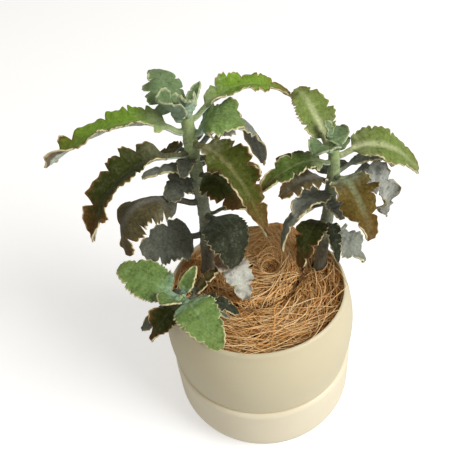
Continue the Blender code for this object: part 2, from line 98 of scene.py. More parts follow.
# Each leaf: name, stem, height of its node, azimuth in degrees, middle and tip of its midrib
# as (reach, rise) from the node, half width, fold of its halves upwards and roll about the
# midrib in degrees, teeth a side, kind.
LEAVES = [
    ("tall_leaf_long_left", "tall_stem", 234, 186, (41, 12), (92, -5), 15.5, 34, 6, 6, "green"),
    ("tall_leaf_back_right", "tall_stem", 241, 19, (38, 12), (75, -4), 10.5, 34, 10, 5, "green"),
    ("tall_leaf_front_right", "tall_stem", 226, 309, (34, -6), (62, -40), 14, 34, 0, 5, "olive"),
    ("tall_leaf_arched_left", "tall_stem", 219, 208, (50, 3), (80, -31), 15, 34, 4, 5, "olive"),
    ("right_leaf_long", "right_stem", 206, 3, (33, 2), (62, -24), 14, 14, 24, 4, "green"),
    ("right_leaf_upright", "right_stem", 210, 118, (21, 20), (37, 31), 14, 12, 0, 4, "green"),
    ("right_leaf_left", "right_stem", 203, 197, (27, 6), (54, -4), 10, 24, -14, 4, "green"),
    ("right_leaf_golden", "right_stem", 193, 291, (22, -1), (45, -25), 15, 12, 0, 4, "brown"),
    ("low_leaf_left", "low_stem", 137, 149, (24, 9), (47, 15), 15, 8, -6, 4, "green"),
    ("low_leaf_front", "low_stem", 137, 300, (20, 3), (44, -10), 14.5, 8, 0, 4, "green"),
    ("tall_leaf_broad", "tall_stem", 232, 350, (18, 13), (37, 8), 17, 8, 0, 3, "green"),
    ("tall_leaf_claw", "tall_stem", 243, 118, (19, 10), (28, 23), 14, 16, 0, 3, "young"),
    ("tall_leaf_cupped", "tall_stem", 243, 200, (10, 8), (18, 16), 12, 26, 0, 2, "young"),
    ("tall_leaf_curly", "tall_stem", 246, 283, (7, 9), (14, 15), 10, 20, 0, 2, "young"),
    ("tall_leaf_small_back", "tall_stem", 243, 58, (12, 8), (23, 12), 8, 20, 0, 2, "young"),
    ("tall_leaf_hooked_back", "tall_stem", 221, 25, (38, 8), (58, -34), 11, -14, 0, 3, "grey"),
    ("tall_leaf_curled_left", "tall_stem", 180, 205, (46, 16), (68, -16), 16, -16, 0, 4, "brown"),
    ("tall_leaf_round_front", "tall_stem", 168, 297, (30, 1), (38, -27), 15.5, 4, 0, 3, "grey"),
    ("tall_leaf_grey_left", "tall_stem", 150, 193, (24, 2), (49, 2), 16, -8, -34, 3, "grey"),
    ("tall_leaf_dark_front", "tall_stem", 202, 312, (20, 3), (41, -8), 14, -12, 0, 3, "olive"),
    ("tall_leaf_silver", "tall_stem", 140, 306, (36, 3), (47, -19), 15, 6, 0, 3, "silver"),
    ("tall_leaf_tip_right", "tall_stem", 168, 341, (30, 7), (44, -18), 9, 12, 0, 2, "olive"),
    ("tall_leaf_dark_left", "tall_stem", 219, 172, (14, 4), (30, 1), 11, 10, -10, 3, "brown"),
    ("tall_leaf_narrow_left", "tall_stem", 207, 190, (18, 4), (36, 4), 7, 10, 0, 2, "grey"),
    ("tall_leaf_grey_cluster", "tall_stem", 199, 216, (15, 1), (30, -9), 13, -8, -20, 3, "grey"),
    ("tall_leaf_upper_left", "tall_stem", 213, 240, (12, 2), (23, -8), 9, 6, 0, 2, "grey"),
    ("tall_leaf_curl_right", "tall_stem", 213, 343, (26, 3), (43, -15), 8, 10, 0, 3, "olive"),
    ("tall_leaf_brown_under", "tall_stem", 227, 4, (24, 3), (38, -9), 8, 8, 0, 3, "brown"),
    ("tall_leaf_behind", "tall_stem", 196, 96, (20, 5), (38, -8), 12, 10, 0, 3, "grey"),
    ("right_leaf_round_left", "right_stem", 212, 214, (11, 8), (21, 9), 12, 14, 0, 2, "young"),
    ("right_leaf_round_front", "right_stem", 216, 276, (8, 7), (15, 6), 9, 10, 0, 2, "young"),
    ("right_leaf_small_back", "right_stem", 202, 54, (14, 14), (29, 18), 9, 14, 0, 2, "young"),
    ("right_leaf_heart", "right_stem", 218, 140, (3, 6), (6, 12), 4, 14, 0, 2, "young"),
    ("right_leaf_under_left", "right_stem", 190, 205, (26, 9), (50, 3), 12, 22, 0, 4, "brown"),
    ("right_leaf_behind_left", "right_stem", 200, 170, (20, 9), (38, 8), 10, 10, 0, 3, "brown"),
    ("right_leaf_silver", "right_stem", 184, 350, (31, 3), (40, -26), 12, 10, 22, 3, "silver"),
    ("right_leaf_curled", "right_stem", 195, 12, (28, 5), (46, -9), 10, -12, 0, 3, "grey"),
    ("right_leaf_round_low_left", "right_stem", 181, 216, (18, 5), (38, 0), 11, 8, 0, 3, "grey"),
    ("right_leaf_low_left", "right_stem", 180, 206, (21, 3), (37, -7), 8, 8, 0, 2, "grey"),
    ("right_leaf_thin", "right_stem", 172, 198, (33, 8), (46, -13), 4, 6, 0, 2, "grey"),
    ("right_leaf_pale_tip", "right_stem", 158, 227, (23, 4), (38, -17), 10, 12, 0, 3, "olive"),
    ("right_leaf_low_front", "right_stem", 156, 268, (15, 1), (25, -18), 10, 8, 0, 3, "grey"),
    ("right_leaf_mid_front", "right_stem", 172, 280, (15, 3), (29, -12), 12, 8, 0, 3, "grey"),
    ("right_leaf_low_right", "right_stem", 147, 318, (18, -1), (34, -13), 13, 4, 0, 3, "grey"),
    ("right_leaf_behind", "right_stem", 184, 82, (18, 6), (36, -8), 12, 10, 0, 3, "grey"),
    ("low_leaf_top", "low_stem", 138, 52, (9, 8), (19, 15), 9, 14, 0, 2, "green"),
    ("low_leaf_small_left", "low_stem", 141, 228, (8, 6), (15, 9), 9, 14, 0, 2, "green"),
    ("low_leaf_olive", "low_stem", 130, 226, (18, 2), (36, -6), 10, 10, 0, 3, "olive"),
    ("low_leaf_brown", "low_stem", 130, 38, (16, 7), (35, 10), 9, 10, 0, 3, "brown"),
    ("low_leaf_grey_right", "low_stem", 130, 350, (20, 4), (36, -3), 10, 10, 0, 3, "grey"),
    ("low_leaf_rim_left", "low_stem", 124, 200, (20, 2), (40, -5), 8, 8, 0, 2, "grey"),
    ("low_leaf_grey_left", "low_stem", 132, 178, (10, 0), (22, -4), 6, 8, 0, 2, "grey"),
    ("low_leaf_tiny", "low_stem", 124, 322, (18, 3), (32, 0), 5, 8, 0, 2, "grey"),
]
PETIOLE_SHARE = 0.12
STEM_GAP = 0.3

# How each kind of leaf is shaped: depth of its lobes, ruffle of its margin, curl of its margin
# downwards and hook of its tip, each as a share of the half width
SHAPES = {
    "green": (0.42, 0.24, 0.02, 0.10),
    "young": (0.36, 0.28, 0.16, 0.20),
    "olive": (0.46, 0.30, 0.02, 0.10),
    "brown": (0.54, 0.32, 0.10, 0.16),
    "grey": (0.38, 0.36, 0.14, 0.16),
    "silver": (0.46, 0.42, -0.10, 0.12),
}
OWN_SHAPES = {
    "tall_leaf_claw": (0.62, 0.30, 0.80, 0.75),
    "tall_leaf_cupped": (0.16, 0.16, -0.30, 0.0),
    "tall_leaf_curly": (0.28, 0.50, -0.10, 0.0),
    "tall_leaf_broad": (0.08, 0.32, 0.12, 0.20),
    "tall_leaf_curled_left": (0.56, 0.26, 0.30, 0.45),
    "tall_leaf_hooked_back": (0.34, 0.20, 0.35, 0.3),
    "right_leaf_long": (0.20, 0.10, 0.05, 0.05),
    "right_leaf_upright": (0.34, 0.12, 0.04, 0.05),
    "right_leaf_round_left": (0.10, 0.10, -0.25, 0.1),
    "right_leaf_round_front": (0.10, 0.08, 0.25, 0.3),
    "low_leaf_left": (0.16, 0.07, 0.05, 0.05),
    "low_leaf_front": (0.16, 0.07, 0.10, 0.12),
    "low_leaf_top": (0.10, 0.05, 0.04, 0.0),
    "low_leaf_small_left": (0.12, 0.05, 0.04, 0.0),
    "tall_leaf_round_front": (0.16, 0.10, 0.18, 0.2),
    "tall_leaf_grey_left": (0.30, 0.36, 0.10, 0.1),
    "tall_leaf_dark_front": (0.50, 0.28, 0.30, 0.3),
    "right_leaf_golden": (0.40, 0.30, 0.10, 0.2),
    "right_leaf_curled": (0.45, 0.40, 0.40, 0.4),
}
# Liveliness and width of the forms tried for a leaf until it is clear of the others
CALMER_FORMS = (
    (1.0, 1.0), (0.7, 0.96), (0.45, 0.92), (0.25, 0.88), (0.1, 0.82), (0.0, 0.76), (0.0, 0.68), (0.0, 0.6),
)

# Leaves that look unlike the rest of their kind
OWN_LOOKS = {
    "low_leaf_left": "felted",
    "low_leaf_front": "felted",
    "low_leaf_top": "felted",
    "low_leaf_small_left": "felted",
    "tall_leaf_broad": "felted",
    "right_leaf_long": "pale",
    "right_leaf_upright": "pale",
    # This leaf takes the shaded look: a darker copy of the green, which is painted shade
    "right_leaf_left": "shaded",
    "right_leaf_golden": "golden",
    # These leaves take a lighter copy of the grey: paler felt, and painted light on leaves that lie in shade
    "right_leaf_round_low_left": "frosted_painted_light",
    "right_leaf_mid_front": "frosted_painted_light",
    "right_leaf_curled": "frosted_painted_light",
    "right_leaf_low_right": "frosted_painted_light",
    "tall_leaf_narrow_left": "frosted_painted_light",
    "tall_leaf_hooked_back": "frosted_painted_light",
    "tall_leaf_front_right": "bronzed",
    "tall_leaf_curled_left": "hoary",
    "right_leaf_under_left": "hoary",
    "tall_leaf_silver": "dried",
    "tall_leaf_round_front": "dusky",
    "right_leaf_low_front": "dusky",
    "low_leaf_grey_right": "dusky",
}


def colour_property(name, description, rgb):
    return bpy.props.FloatVectorProperty(
        name=name, description=description, subtype="COLOR", size=3, min=0, max=1, default=rgb
    )


def length_property(name, description, metres):
    return bpy.props.FloatProperty(
        name=name, description=description, default=metres, min=0, unit="LENGTH", precision=4
    )


class PotSettings(bpy.types.PropertyGroup):
    """Sizes and colours of the planter and its saucer"""

    planter_colour: colour_property("Planter", "Glaze of the upper pot", (0.60, 0.54, 0.37))
    saucer_colour: colour_property("Saucer", "Glaze of the deep saucer", (0.755, 0.69, 0.525))
    rim_width: length_property("Rim rounding", "How far the rim's outer side is rounded", 0.0026)
    steps: bpy.props.IntProperty(
        name="Steps", description="Facets round the turned pieces", default=144, min=32, max=256
    )


class CoirSettings(bpy.types.PropertyGroup):
    """Amount and colours of the coir mulch"""

    fibres: bpy.props.IntProperty(
        name="Fibres", description="Number of matted fibres", default=2800, min=100, max=12000
    )
    strands: bpy.props.IntProperty(
        name="Strands", description="Number of coarse loose fibres", default=900, min=10, max=4000
    )
    fibre_radius: length_property("Fibre radius", "Radius of one fibre", 0.00024)
    dark_colour: colour_property("Dark fibre", "Colour of the darkest fibres", (0.085, 0.034, 0.010))
    pale_colour: colour_property("Pale fibre", "Colour of the palest fibres", (0.98, 0.72, 0.38))
    # Painted shade: the near-black mat stands in for the shade in the gaps between the fibres
    painted_gap_shade_colour: colour_property("Mat", "Colour between the fibres", (0.030, 0.012, 0.005))


class StemSettings(bpy.types.PropertyGroup):
    """Colours of the stems"""

    low_colour: colour_property("Low bark", "Colour of the stem near the mulch", (0.13, 0.125, 0.09))
    high_colour: colour_property("High felt", "Colour of the young stem", (0.30, 0.385, 0.165))


class LeafSettings(bpy.types.PropertyGroup):
    """Thickness and colours of the leaves"""

    thickness: length_property("Thickness", "Thickness of a blade at its midrib", 0.0019)
    margin: length_property("Margin", "Thickness of a blade's felted margin", 0.0009)
    green_colour: colour_property("Green", "Upper side of a grown leaf", (0.160, 0.275, 0.026))
    felted_colour: colour_property("Felted", "Upper side of a low, woolly leaf", (0.145, 0.230, 0.062))
    pale_colour: colour_property("Pale green", "Upper side of a sunlit leaf", (0.150, 0.205, 0.045))
    dried_colour: colour_property("Dried", "Upper side of a dried silver leaf", (0.45, 0.455, 0.40))
    # Painted shade: a darker copy of the green for a leaf that lies in shade
    painted_shade_green_colour: colour_property("Shaded green", "Upper side of a darker green leaf", (0.080, 0.125, 0.022))
    golden_colour: colour_property("Golden", "Upper side of a golden brown leaf", (0.105, 0.070, 0.010))
    # Paler felt and painted light: a lighter copy of the grey for leaves that lie in shade
    frosted_painted_light_colour: colour_property("Frosted", "Upper side of a frosty grey leaf", (0.21, 0.225, 0.185))
    bronzed_colour: colour_property("Bronzed", "Upper side of a half-bronzed leaf", (0.062, 0.076, 0.007))
    hoary_colour: colour_property("Hoary", "Upper side of a brown leaf under grey felt", (0.085, 0.07, 0.03))
    young_colour: colour_property("Young", "Upper side of a young leaf", (0.145, 0.215, 0.095))
    olive_colour: colour_property("Olive", "Upper side of a sun-darkened leaf", (0.038, 0.046, 0.006))
    brown_colour: colour_property("Brown", "Upper side of a bronzed leaf", (0.072, 0.052, 0.010))
    grey_colour: colour_property("Grey", "Upper side of an old felted leaf", (0.132, 0.138, 0.108))
    dusky_colour: colour_property("Dusky", "Upper side of a dark felted leaf", (0.030, 0.035, 0.018))
    silver_colour: colour_property("Silver", "Dry silver felt", (0.31, 0.32, 0.285))
    underside_colour: colour_property("Underside", "Felt under the leaves", (0.58, 0.66, 0.56))
    band_colour: colour_property("Band", "Rust-brown band along a margin", (0.130, 0.058, 0.014))
    edge_colour: colour_property("Edge", "Pale fuzz along the very edge", (0.66, 0.59, 0.34))


class StageSettings(bpy.types.PropertyGroup):
    """Floor, lights and camera"""

    floor_colour: colour_property("Floor", "Colour of the plain floor", (0.72, 0.72, 0.72))
    key_power: bpy.props.FloatProperty(
        name="Key light", description="Power of the large soft light", default=122.0, min=0, unit="POWER"
    )
    fill_power: bpy.props.FloatProperty(
        name="Fill light", description="Power of the fill light", default=4.0, min=0, unit="POWER"
    )
    sky: bpy.props.FloatProperty(
        name="Sky", description="Strength of the even light all round", default=0.45, min=0
    )


# Meshes


def link_mesh(name, points, faces, attributes=None):
    """A smooth mesh object from arrays, with named values on its points."""
    mesh = bpy.data.meshes.new(name)
    mesh.from_pydata([tuple(p) for p in points], [], faces)
    for key, values in (attributes or {}).items():
        layer = mesh.attributes.new(key, "FLOAT", "POINT")
        layer.data.foreach_set("value", np.asarray(values, np.float32))
    mesh.shade_smooth()
    mesh.update()
    made = bpy.data.objects.new(name, mesh)
    bpy.context.scene.collection.objects.link(made)
    return made


def ring_faces(rings, size):
    """Faces of a tube of equal rings, closed at both ends."""
    faces = [tuple(reversed(range(size)))]
    for ring in range(rings - 1):
        low, high = ring * size, (ring + 1) * size
        for i in range(size):
            after = (i + 1) % size
            faces.append((low + i, low + after, high + after, high + i))
    last = (rings - 1) * size
    faces.append(tuple(range(last, last + size)))
    return faces


def dress(piece, material, slot, *nodes):
    """Gives a piece its material and its body, and hides the CAD nodes that it stands for; the slot is not
    used.
    """
    piece.data.materials.clear()
    piece.data.materials.append(material)
    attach(piece, BODY)
    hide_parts(*nodes)
    return piece


# Shader node groups


def new_group(name, inputs, outputs):
    """A shader node group with its sockets, its input node and its output node."""
    group = bpy.data.node_groups.new(name, "ShaderNodeTree")
    for label, kind, value in inputs:
        socket = group.interface.new_socket(name=label, in_out="INPUT", socket_type=f"NodeSocket{kind}")
        socket.default_value = value
    for label, kind in outputs:
        group.interface.new_socket(name=label, in_out="OUTPUT", socket_type=f"NodeSocket{kind}")
    return group, group.nodes.new("NodeGroupInput"), group.nodes.new("NodeGroupOutput")


def add_node(tree, kind, links=None, **settings):
    """A shader node: settings are its properties, and links feed its inputs from sockets or values."""
    node = tree.nodes.new(kind)
    for key, value in settings.items():
        setattr(node, key, value)
    for key, source in (links or {}).items():
        if isinstance(source, bpy.types.NodeSocket):
            tree.links.new(source, node.inputs[key])
        else:
            node.inputs[key].default_value = source
    return node


def math_node(tree, operation, first, second=0.0, clamp=False):
    sockets = {0: first, 1: second}
    return add_node(tree, "ShaderNodeMath", sockets, operation=operation, use_clamp=clamp).outputs[0]


def swing_node(tree, pattern, amount):
    """A pattern swung about its middle by an amount."""
    return math_node(tree, "MULTIPLY", math_node(tree, "SUBTRACT", pattern, 0.5), amount)


def mix_colour(tree, share, first, second, blend="MIX"):
    node = add_node(tree, "ShaderNodeMix", data_type="RGBA", blend_type=blend)
    for index, source in ((0, share), (6, first), (7, second)):
        if isinstance(source, bpy.types.NodeSocket):
            tree.links.new(source, node.inputs[index])
        else:
            node.inputs[index].default_value = source
    return node.outputs[2]


def smooth_step(tree, value, low, high):
    """0 below low and 1 above high, eased between them."""
    node = add_node(
        tree, "ShaderNodeMapRange", {"Value": value, "From Min": low, "From Max": high},
        interpolation_type="SMOOTHSTEP",
    )
    return node.outputs["Result"]


def noise_value(tree, coordinates, scale, detail=3.0, roughness=0.55):
    node = add_node(
        tree,
        "ShaderNodeTexNoise",
        {"Vector": coordinates, "Scale": scale, "Detail": detail, "Roughness": roughness},
    )
    return node.outputs["Fac"]


def attribute(tree, name):
    return add_node(tree, "ShaderNodeAttribute", attribute_name=name).outputs["Fac"]


def object_place(tree):
    return add_node(tree, "ShaderNodeTexCoord").outputs["Object"]


def make_felt_group():
    """Short dense fuzz: a colour that varies in patches and specks, and a height for the bump."""
    group, given, result = new_group(
        "KalanchoeFelt",
        [("Base", "Color", (0.2, 0.3, 0.1, 1)), ("Variation", "Float", 0.3), ("Fuzz", "Float", 0.3)],
        [("Color", "Color"), ("Height", "Float"), ("Roughness", "Float")],
    )
    place = object_place(group)
    patches = noise_value(group, place, 130.0, 4.0)
    tufts = noise_value(group, place, 520.0, 3.0, 0.65)
    specks = noise_value(group, place, 1500.0, 3.0, 0.7)
    hairs = noise_value(group, place, 3600.0, 2.0, 0.8)
    swing = swing_node(group, patches, given.outputs["Variation"])
    mixed = math_node(
        group, "ADD", math_node(group, "MULTIPLY", specks, 0.6), math_node(group, "MULTIPLY", tufts, 0.9)
    )
    grain = math_node(group, "MULTIPLY", math_node(group, "SUBTRACT", mixed, 0.75), given.outputs["Fuzz"])
    factor = math_node(group, "ADD", math_node(group, "ADD", swing, grain), 0.5)
    dark = mix_colour(group, 1.0, given.outputs["Base"], (0.55, 0.55, 0.55, 1), "MULTIPLY")
    pale = mix_colour(group, 0.06, given.outputs["Base"], (0.62, 0.66, 0.52, 1))
    pale = mix_colour(group, 1.0, pale, (1.35, 1.35, 1.3, 1), "MULTIPLY")
    shade = mix_colour(group, smooth_step(group, factor, 0.18, 0.52), dark, given.outputs["Base"])
    shade = mix_colour(group, smooth_step(group, factor, 0.50, 0.92), shade, pale)
    height = math_node(group, "ADD", mixed, math_node(group, "MULTIPLY", hairs, 0.4))
    group.links.new(shade, result.inputs["Color"])
    group.links.new(height, result.inputs["Height"])
    rough = math_node(group, "ADD", math_node(group, "MULTIPLY", specks, 0.12), 0.74)
    group.links.new(rough, result.inputs["Roughness"])
    return group


def make_leaf_group(felt):
    """Colour over a leaf: midrib, felted base, rust-brown band, pale edge and a pale underside."""
    group, given, result = new_group(
        "KalanchoeLeaf",
        [
            ("Face", "Color", (0.13, 0.26, 0.08, 1)),
            ("Vein", "Color", (0.4, 0.5, 0.3, 1)),
            ("Felt", "Color", (0.3, 0.4, 0.2, 1)),
            ("Underside", "Color", (0.5, 0.55, 0.5, 1)),
            ("Band", "Color", (0.15, 0.07, 0.02, 1)),
            ("Edge", "Color", (0.6, 0.58, 0.35, 1)),
            ("Felt Reach", "Float", 0.3),
            ("Band Width", "Float", 0.3),
            ("Under Band", "Float", 0.5),
            ("Edge Width", "Float", 0.09),
            ("Vein Strength", "Float", 0.5),
            ("Vein Width", "Float", 0.3),
            ("Variation", "Float", 0.6),
            ("Tip Browning", "Float", 0.2),
        ],
        [("Color", "Color"), ("Height", "Float"), ("Roughness", "Float")],
    )
    upper = attribute(group, "upper")
    margin = attribute(group, "margin")
    midrib = attribute(group, "midrib")
    along = attribute(group, "along")
    place = object_place(group)
    wander = math_node(group, "SUBTRACT", noise_value(group, place, 230.0, 3.0), 0.5)
    ragged = math_node(group, "ADD", margin, math_node(group, "MULTIPLY", wander, 0.55))
    near_tip = math_node(group, "ADD", math_node(group, "MULTIPLY", along, 0.9), 0.35)
    band_reach = math_node(group, "MULTIPLY", given.outputs["Band Width"], near_tip)
    band_start = math_node(group, "MULTIPLY", band_reach, 0.45)
    band = math_node(group, "SUBTRACT", 1.0, smooth_step(group, ragged, band_start, band_reach), clamp=True)
    drifting = math_node(group, "ADD", along, math_node(group, "MULTIPLY", wander, 0.5))
    tip = smooth_step(group, drifting, 0.66, 1.02)
    tip = math_node(group, "MULTIPLY", tip, given.outputs["Tip Browning"])
    browned = math_node(group, "MAXIMUM", band, tip)
    bare = smooth_step(group, midrib, 0.02, given.outputs["Vein Width"])
    fading = math_node(group, "SUBTRACT", 1.12, along)
    veined = math_node(group, "MULTIPLY", given.outputs["Vein Strength"], fading)
    veined = math_node(group, "MULTIPLY", math_node(group, "SUBTRACT", 1.0, bare), veined, clamp=True)
    felted = math_node(group, "SUBTRACT", 1.0, smooth_step(group, drifting, 0.0, given.outputs["Felt Reach"]))
    face = mix_colour(
        group, math_node(group, "MULTIPLY", felted, 0.85), given.outputs["Face"], given.outputs["Felt"]
    )
    face = mix_colour(group, veined, face, given.outputs["Vein"])
    browned = math_node(group, "MULTIPLY", browned, math_node(group, "SUBTRACT", 0.92, math_node(
        group, "MULTIPLY", felted, 0.6,
    )))
    face = mix_colour(group, browned, face, given.outputs["Band"])
    under_band = math_node(group, "SUBTRACT", 1.0, smooth_step(
        group, ragged,
        math_node(group, "MULTIPLY", given.outputs["Under Band"], 0.7), given.outputs["Under Band"],
    ))
    under_band = math_node(group, "MULTIPLY", under_band, 0.85)
    below = mix_colour(group, under_band, given.outputs["Underside"], given.outputs["Band"])
    colour = mix_colour(group, smooth_step(group, upper, 0.35, 0.65), below, face)
    rim = math_node(group, "SUBTRACT", 1.0, smooth_step(group, margin, 0.0, given.outputs["Edge Width"]))
    broken = smooth_step(group, noise_value(group, place, 420.0, 2.0), 0.18, 0.38)
    rim = math_node(group, "MULTIPLY", rim, math_node(group, "MULTIPLY", broken, 0.9))
    colour = mix_colour(group, rim, colour, given.outputs["Edge"])
    fuzz = add_node(group, "ShaderNodeGroup", node_tree=felt)
    group.links.new(colour, fuzz.inputs["Base"])
    group.links.new(given.outputs["Variation"], fuzz.inputs["Variation"])
    fuzz.inputs["Fuzz"].default_value = 1.0
    for name in ("Color", "Height", "Roughness"):
        group.links.new(fuzz.outputs[name], result.inputs[name])
    return group


def make_glaze_group():
    """Satin ceramic: faint clouding, sparse pin specks and a very shallow unevenness."""
    group, given, result = new_group(
        "KalanchoeGlaze",
        [("Base", "Color", (0.8, 0.75, 0.6, 1)), ("Clouding", "Float", 0.3)],
        [("Color", "Color"), ("Height", "Float"), ("Roughness", "Float")],
    )
    place = object_place(group)
    clouds = noise_value(group, place, 28.0, 3.0)
    fine = noise_value(group, place, 900.0, 2.0)
    specks = smooth_step(group, noise_value(group, place, 520.0, 1.0), 0.74, 0.80)
    deep = mix_colour(group, 1.0, given.outputs["Base"], (0.90, 0.87, 0.82, 1), "MULTIPLY")
    colour = mix_colour(
        group, math_node(group, "MULTIPLY", clouds, given.outputs["Clouding"]), given.outputs["Base"], deep
    )
    colour = mix_colour(group, math_node(group, "MULTIPLY", specks, 0.18), colour, (0.42, 0.34, 0.22, 1))
    group.links.new(colour, result.inputs["Color"])
    height = math_node(
        group, "ADD", math_node(group, "MULTIPLY", clouds, 0.7), math_node(group, "MULTIPLY", fine, 0.1)
    )
    group.links.new(height, result.inputs["Height"])
    rough = math_node(group, "ADD", math_node(group, "MULTIPLY", fine, 0.10), 0.36)
    group.links.new(rough, result.inputs["Roughness"])
    return group


def new_material(name, group, values, bump, bump_distance, shine=0.3, sheen=0.0, sheen_tint=(1, 1, 1, 1)):
    """A Principled material whose colour, roughness and bump come from a node group."""
    material = bpy.data.materials.new(name)
    material.use_nodes = True
    tree = material.node_tree
    shader = tree.nodes["Principled BSDF"]
    shader.inputs["Specular IOR Level"].default_value = shine
    shader.inputs["Sheen Weight"].default_value = sheen
    shader.inputs["Sheen Roughness"].default_value = 0.45
    shader.inputs["Sheen Tint"].default_value = sheen_tint
    pattern = add_node(tree, "ShaderNodeGroup", node_tree=group)
    for key, value in values.items():
        pattern.inputs[key].default_value = value
    raised = add_node(tree, "ShaderNodeBump", {"Height": pattern.outputs["Height"]})
    raised.inputs["Strength"].default_value = bump
    raised.inputs["Distance"].default_value = bump_distance
    tree.links.new(pattern.outputs["Color"], shader.inputs["Base Color"])
    tree.links.new(pattern.outputs["Roughness"], shader.inputs["Roughness"])
    tree.links.new(raised.outputs["Normal"], shader.inputs["Normal"])
    return material


def rgba(colour):
    return (*colour, 1.0)


# Pot


def arc(centre_r, centre_z, radius, start, end, steps):
    """Points of a circular arc in the turning plane, from one angle to another in degrees."""
    points = []
    for step in range(steps + 1):
        angle = math.radians(start + (end - start) * step / steps)
        points.append((centre_r + radius * math.cos(angle), centre_z + radius * math.sin(angle)))
    return points


def oval(centre_r, centre_z, wide, high, start, end, steps):
    """Points of an upright ellipse in the turning plane, from one angle to another in degrees."""
    points = []
    for step in range(steps + 1):
        angle = math.radians(start + (end - start) * step / steps)
        points.append((centre_r + wide * math.cos(angle), centre_z + high * math.sin(angle)))
    return points


def turned(name, profile, closed, steps):
    """A turned piece: its profile, running down its outer side, swept round the Z axis."""
    points = [(r, 0, z) for r, z in profile]
    edges = [(i, i + 1) for i in range(len(points) - 1)]
    if closed:
        edges.append((len(points) - 1, 0))
    mesh = bpy.data.meshes.new(name)
    mesh.from_pydata(points, edges, [])
    piece = bpy.data.objects.new(name, mesh)
    bpy.context.scene.collection.objects.link(piece)
    screw = piece.modifiers.new("turn", "SCREW")
    screw.steps = steps
    screw.render_steps = steps
    screw.use_merge_vertices = True
    screw.merge_threshold = 0.00001
    screw.use_smooth_shade = True
    return piece


def planter_inner_radius(z):
    """Radius of the planter's inner wall at a height, as in the solid."""
    if z >= SEAM_HEIGHT:
        rise = (z - SEAM_HEIGHT) / (RIM_HEIGHT - SEAM_HEIGHT)
        bulge = 3.2 * MM * math.sin(math.pi * rise ** 0.8)
        return 61.4 * MM + (RIM_INNER - 61.4 * MM) * rise + bulge
    return 52.5 * MM + 8.9 * MM * (z - 11.5 * MM) / (SEAM_HEIGHT - 11.5 * MM)


def saucer_profile():
    """Inside floor, inside wall, rounded lip, upright wall, rounded foot and flat base."""
    base = 47 * MM
    corner = SAUCER_RADIUS - base
    inner = SAUCER_RADIUS - 3.6 * MM
    floor = 4 * MM
    profile = [(0, floor), (44 * MM, floor)]
    profile += arc(inner - 16 * MM, floor + 16 * MM, 16 * MM, -75, 0, 8)
    profile += oval(inner + 0.6 * MM, SEAM_HEIGHT - 1.0 * MM, 0.6 * MM, 1.0 * MM, 180, 90, 4)
    profile += oval(SAUCER_RADIUS - 2.8 * MM, SEAM_HEIGHT - 4.5 * MM, 2.8 * MM, 4.5 * MM, 88, 0, 14)
    profile += arc(base, corner, corner, 0, -84, 18)
    profile += arc(base, 0.8 * MM, 0.8 * MM, -20, -90, 4)
    profile.append((0, 0))
    return profile


def planter_profile(rim_width):
    """Rounded rim, bellied outer wall, shoulder over the saucer's lip, foot, drain hole, inner wall."""
    shoulder = SEAM_HEIGHT + 0.3 * MM
    foot = SAUCER_RADIUS - 4.5 * MM
    crest = RIM_OUTER - rim_width
    profile = oval(crest, RIM_HEIGHT - 4 * MM, rim_width, 4 * MM, 90, 8, 12)
    bottom, top = shoulder + 2.0 * MM, RIM_HEIGHT - 4 * MM
    for step in range(1, 24):
        share = step / 24
        straight = RIM_OUTER + (SHOULDER_RADIUS - RIM_OUTER) * share
        belly_swell = 4.0 * MM * math.sin(math.pi * share ** 0.90)
        profile.append((straight + belly_swell, top + (bottom - top) * share))
    profile += oval(SHOULDER_RADIUS - 1.6 * MM, shoulder + 2.0 * MM, 1.6 * MM, 2.0 * MM, 0, -90, 6)
    profile += [(foot, shoulder), (foot, 24 * MM), (55 * MM, 9.5 * MM), (50 * MM, 6.5 * MM)]
    profile += [(5.5 * MM, 6.5 * MM), (5.5 * MM, 11.5 * MM)]
    for step in range(16):
        z = 11.5 * MM + (RIM_HEIGHT - 5 * MM - 11.5 * MM) * step / 15
        profile.append((planter_inner_radius(z), z))
    profile += oval(crest, RIM_HEIGHT - 2 * MM, crest - RIM_INNER + 0.6 * MM, 2 * MM, 180, 98, 6)
    return profile


# Stems and leaves


def stem_at(name, height):
    """The stem's centre and radius at a height, both in millimetres."""
    points, radii = STEMS[name]
    for low, high, thick, thin in zip(points, points[1:], radii, radii[1:]):
        if height <= high[2] or high is points[-1]:
            along = (height - low[2]) / (high[2] - low[2])
            return Vector(low).lerp(Vector(high), along), thick + (thin - thick) * along
    raise ValueError(name)


def petiole_radius(half_width):
    """Radius of a leaf's stalk in millimetres, which is thicker under a wider blade."""
    return 1.0 + 0.085 * half_width


def midrib_points(spec, lean):
    """Start, control point and end of a leaf's midrib from its node, and its sideways direction."""
    _, stem, height, azimuth, middle, tip = spec[:6]
    turn, lift, size = lean
    centre, stem_radius = stem_at(stem, height)
    heading = math.radians(azimuth + turn)
    out = Vector((math.cos(heading), math.sin(heading), 0))
    side = Vector((-math.sin(heading), math.cos(heading), 0))
    cos_lift, sin_lift = math.cos(math.radians(lift)), math.sin(math.radians(lift))
    ends = []
    for reach, rise in (middle, tip):
        level = (reach * cos_lift - rise * sin_lift) * size
        upward = (reach * sin_lift + rise * cos_lift) * size
        ends.append(out * level + Vector((0, 0, upward)))
    start = out * (stem_radius + petiole_radius(spec[6] * size) + STEM_GAP)
    control = ends[0] * 2 - (start + ends[1]) * 0.5
    return centre, start, control, ends[1], side, out


def leaning_choices():
    """Turns, lifts and sizes that a leaf may have taken to clear its neighbours."""
    yield 0, 0, 1
    for size in (1, 0.88, 0.76, 0.64):
        for lean in (3, 6, 9, 12, 15, 19, 23, 28, 34):
            for step in range(8):
                angle = math.pi * step / 4
                yield lean * math.cos(angle), lean * math.sin(angle), size


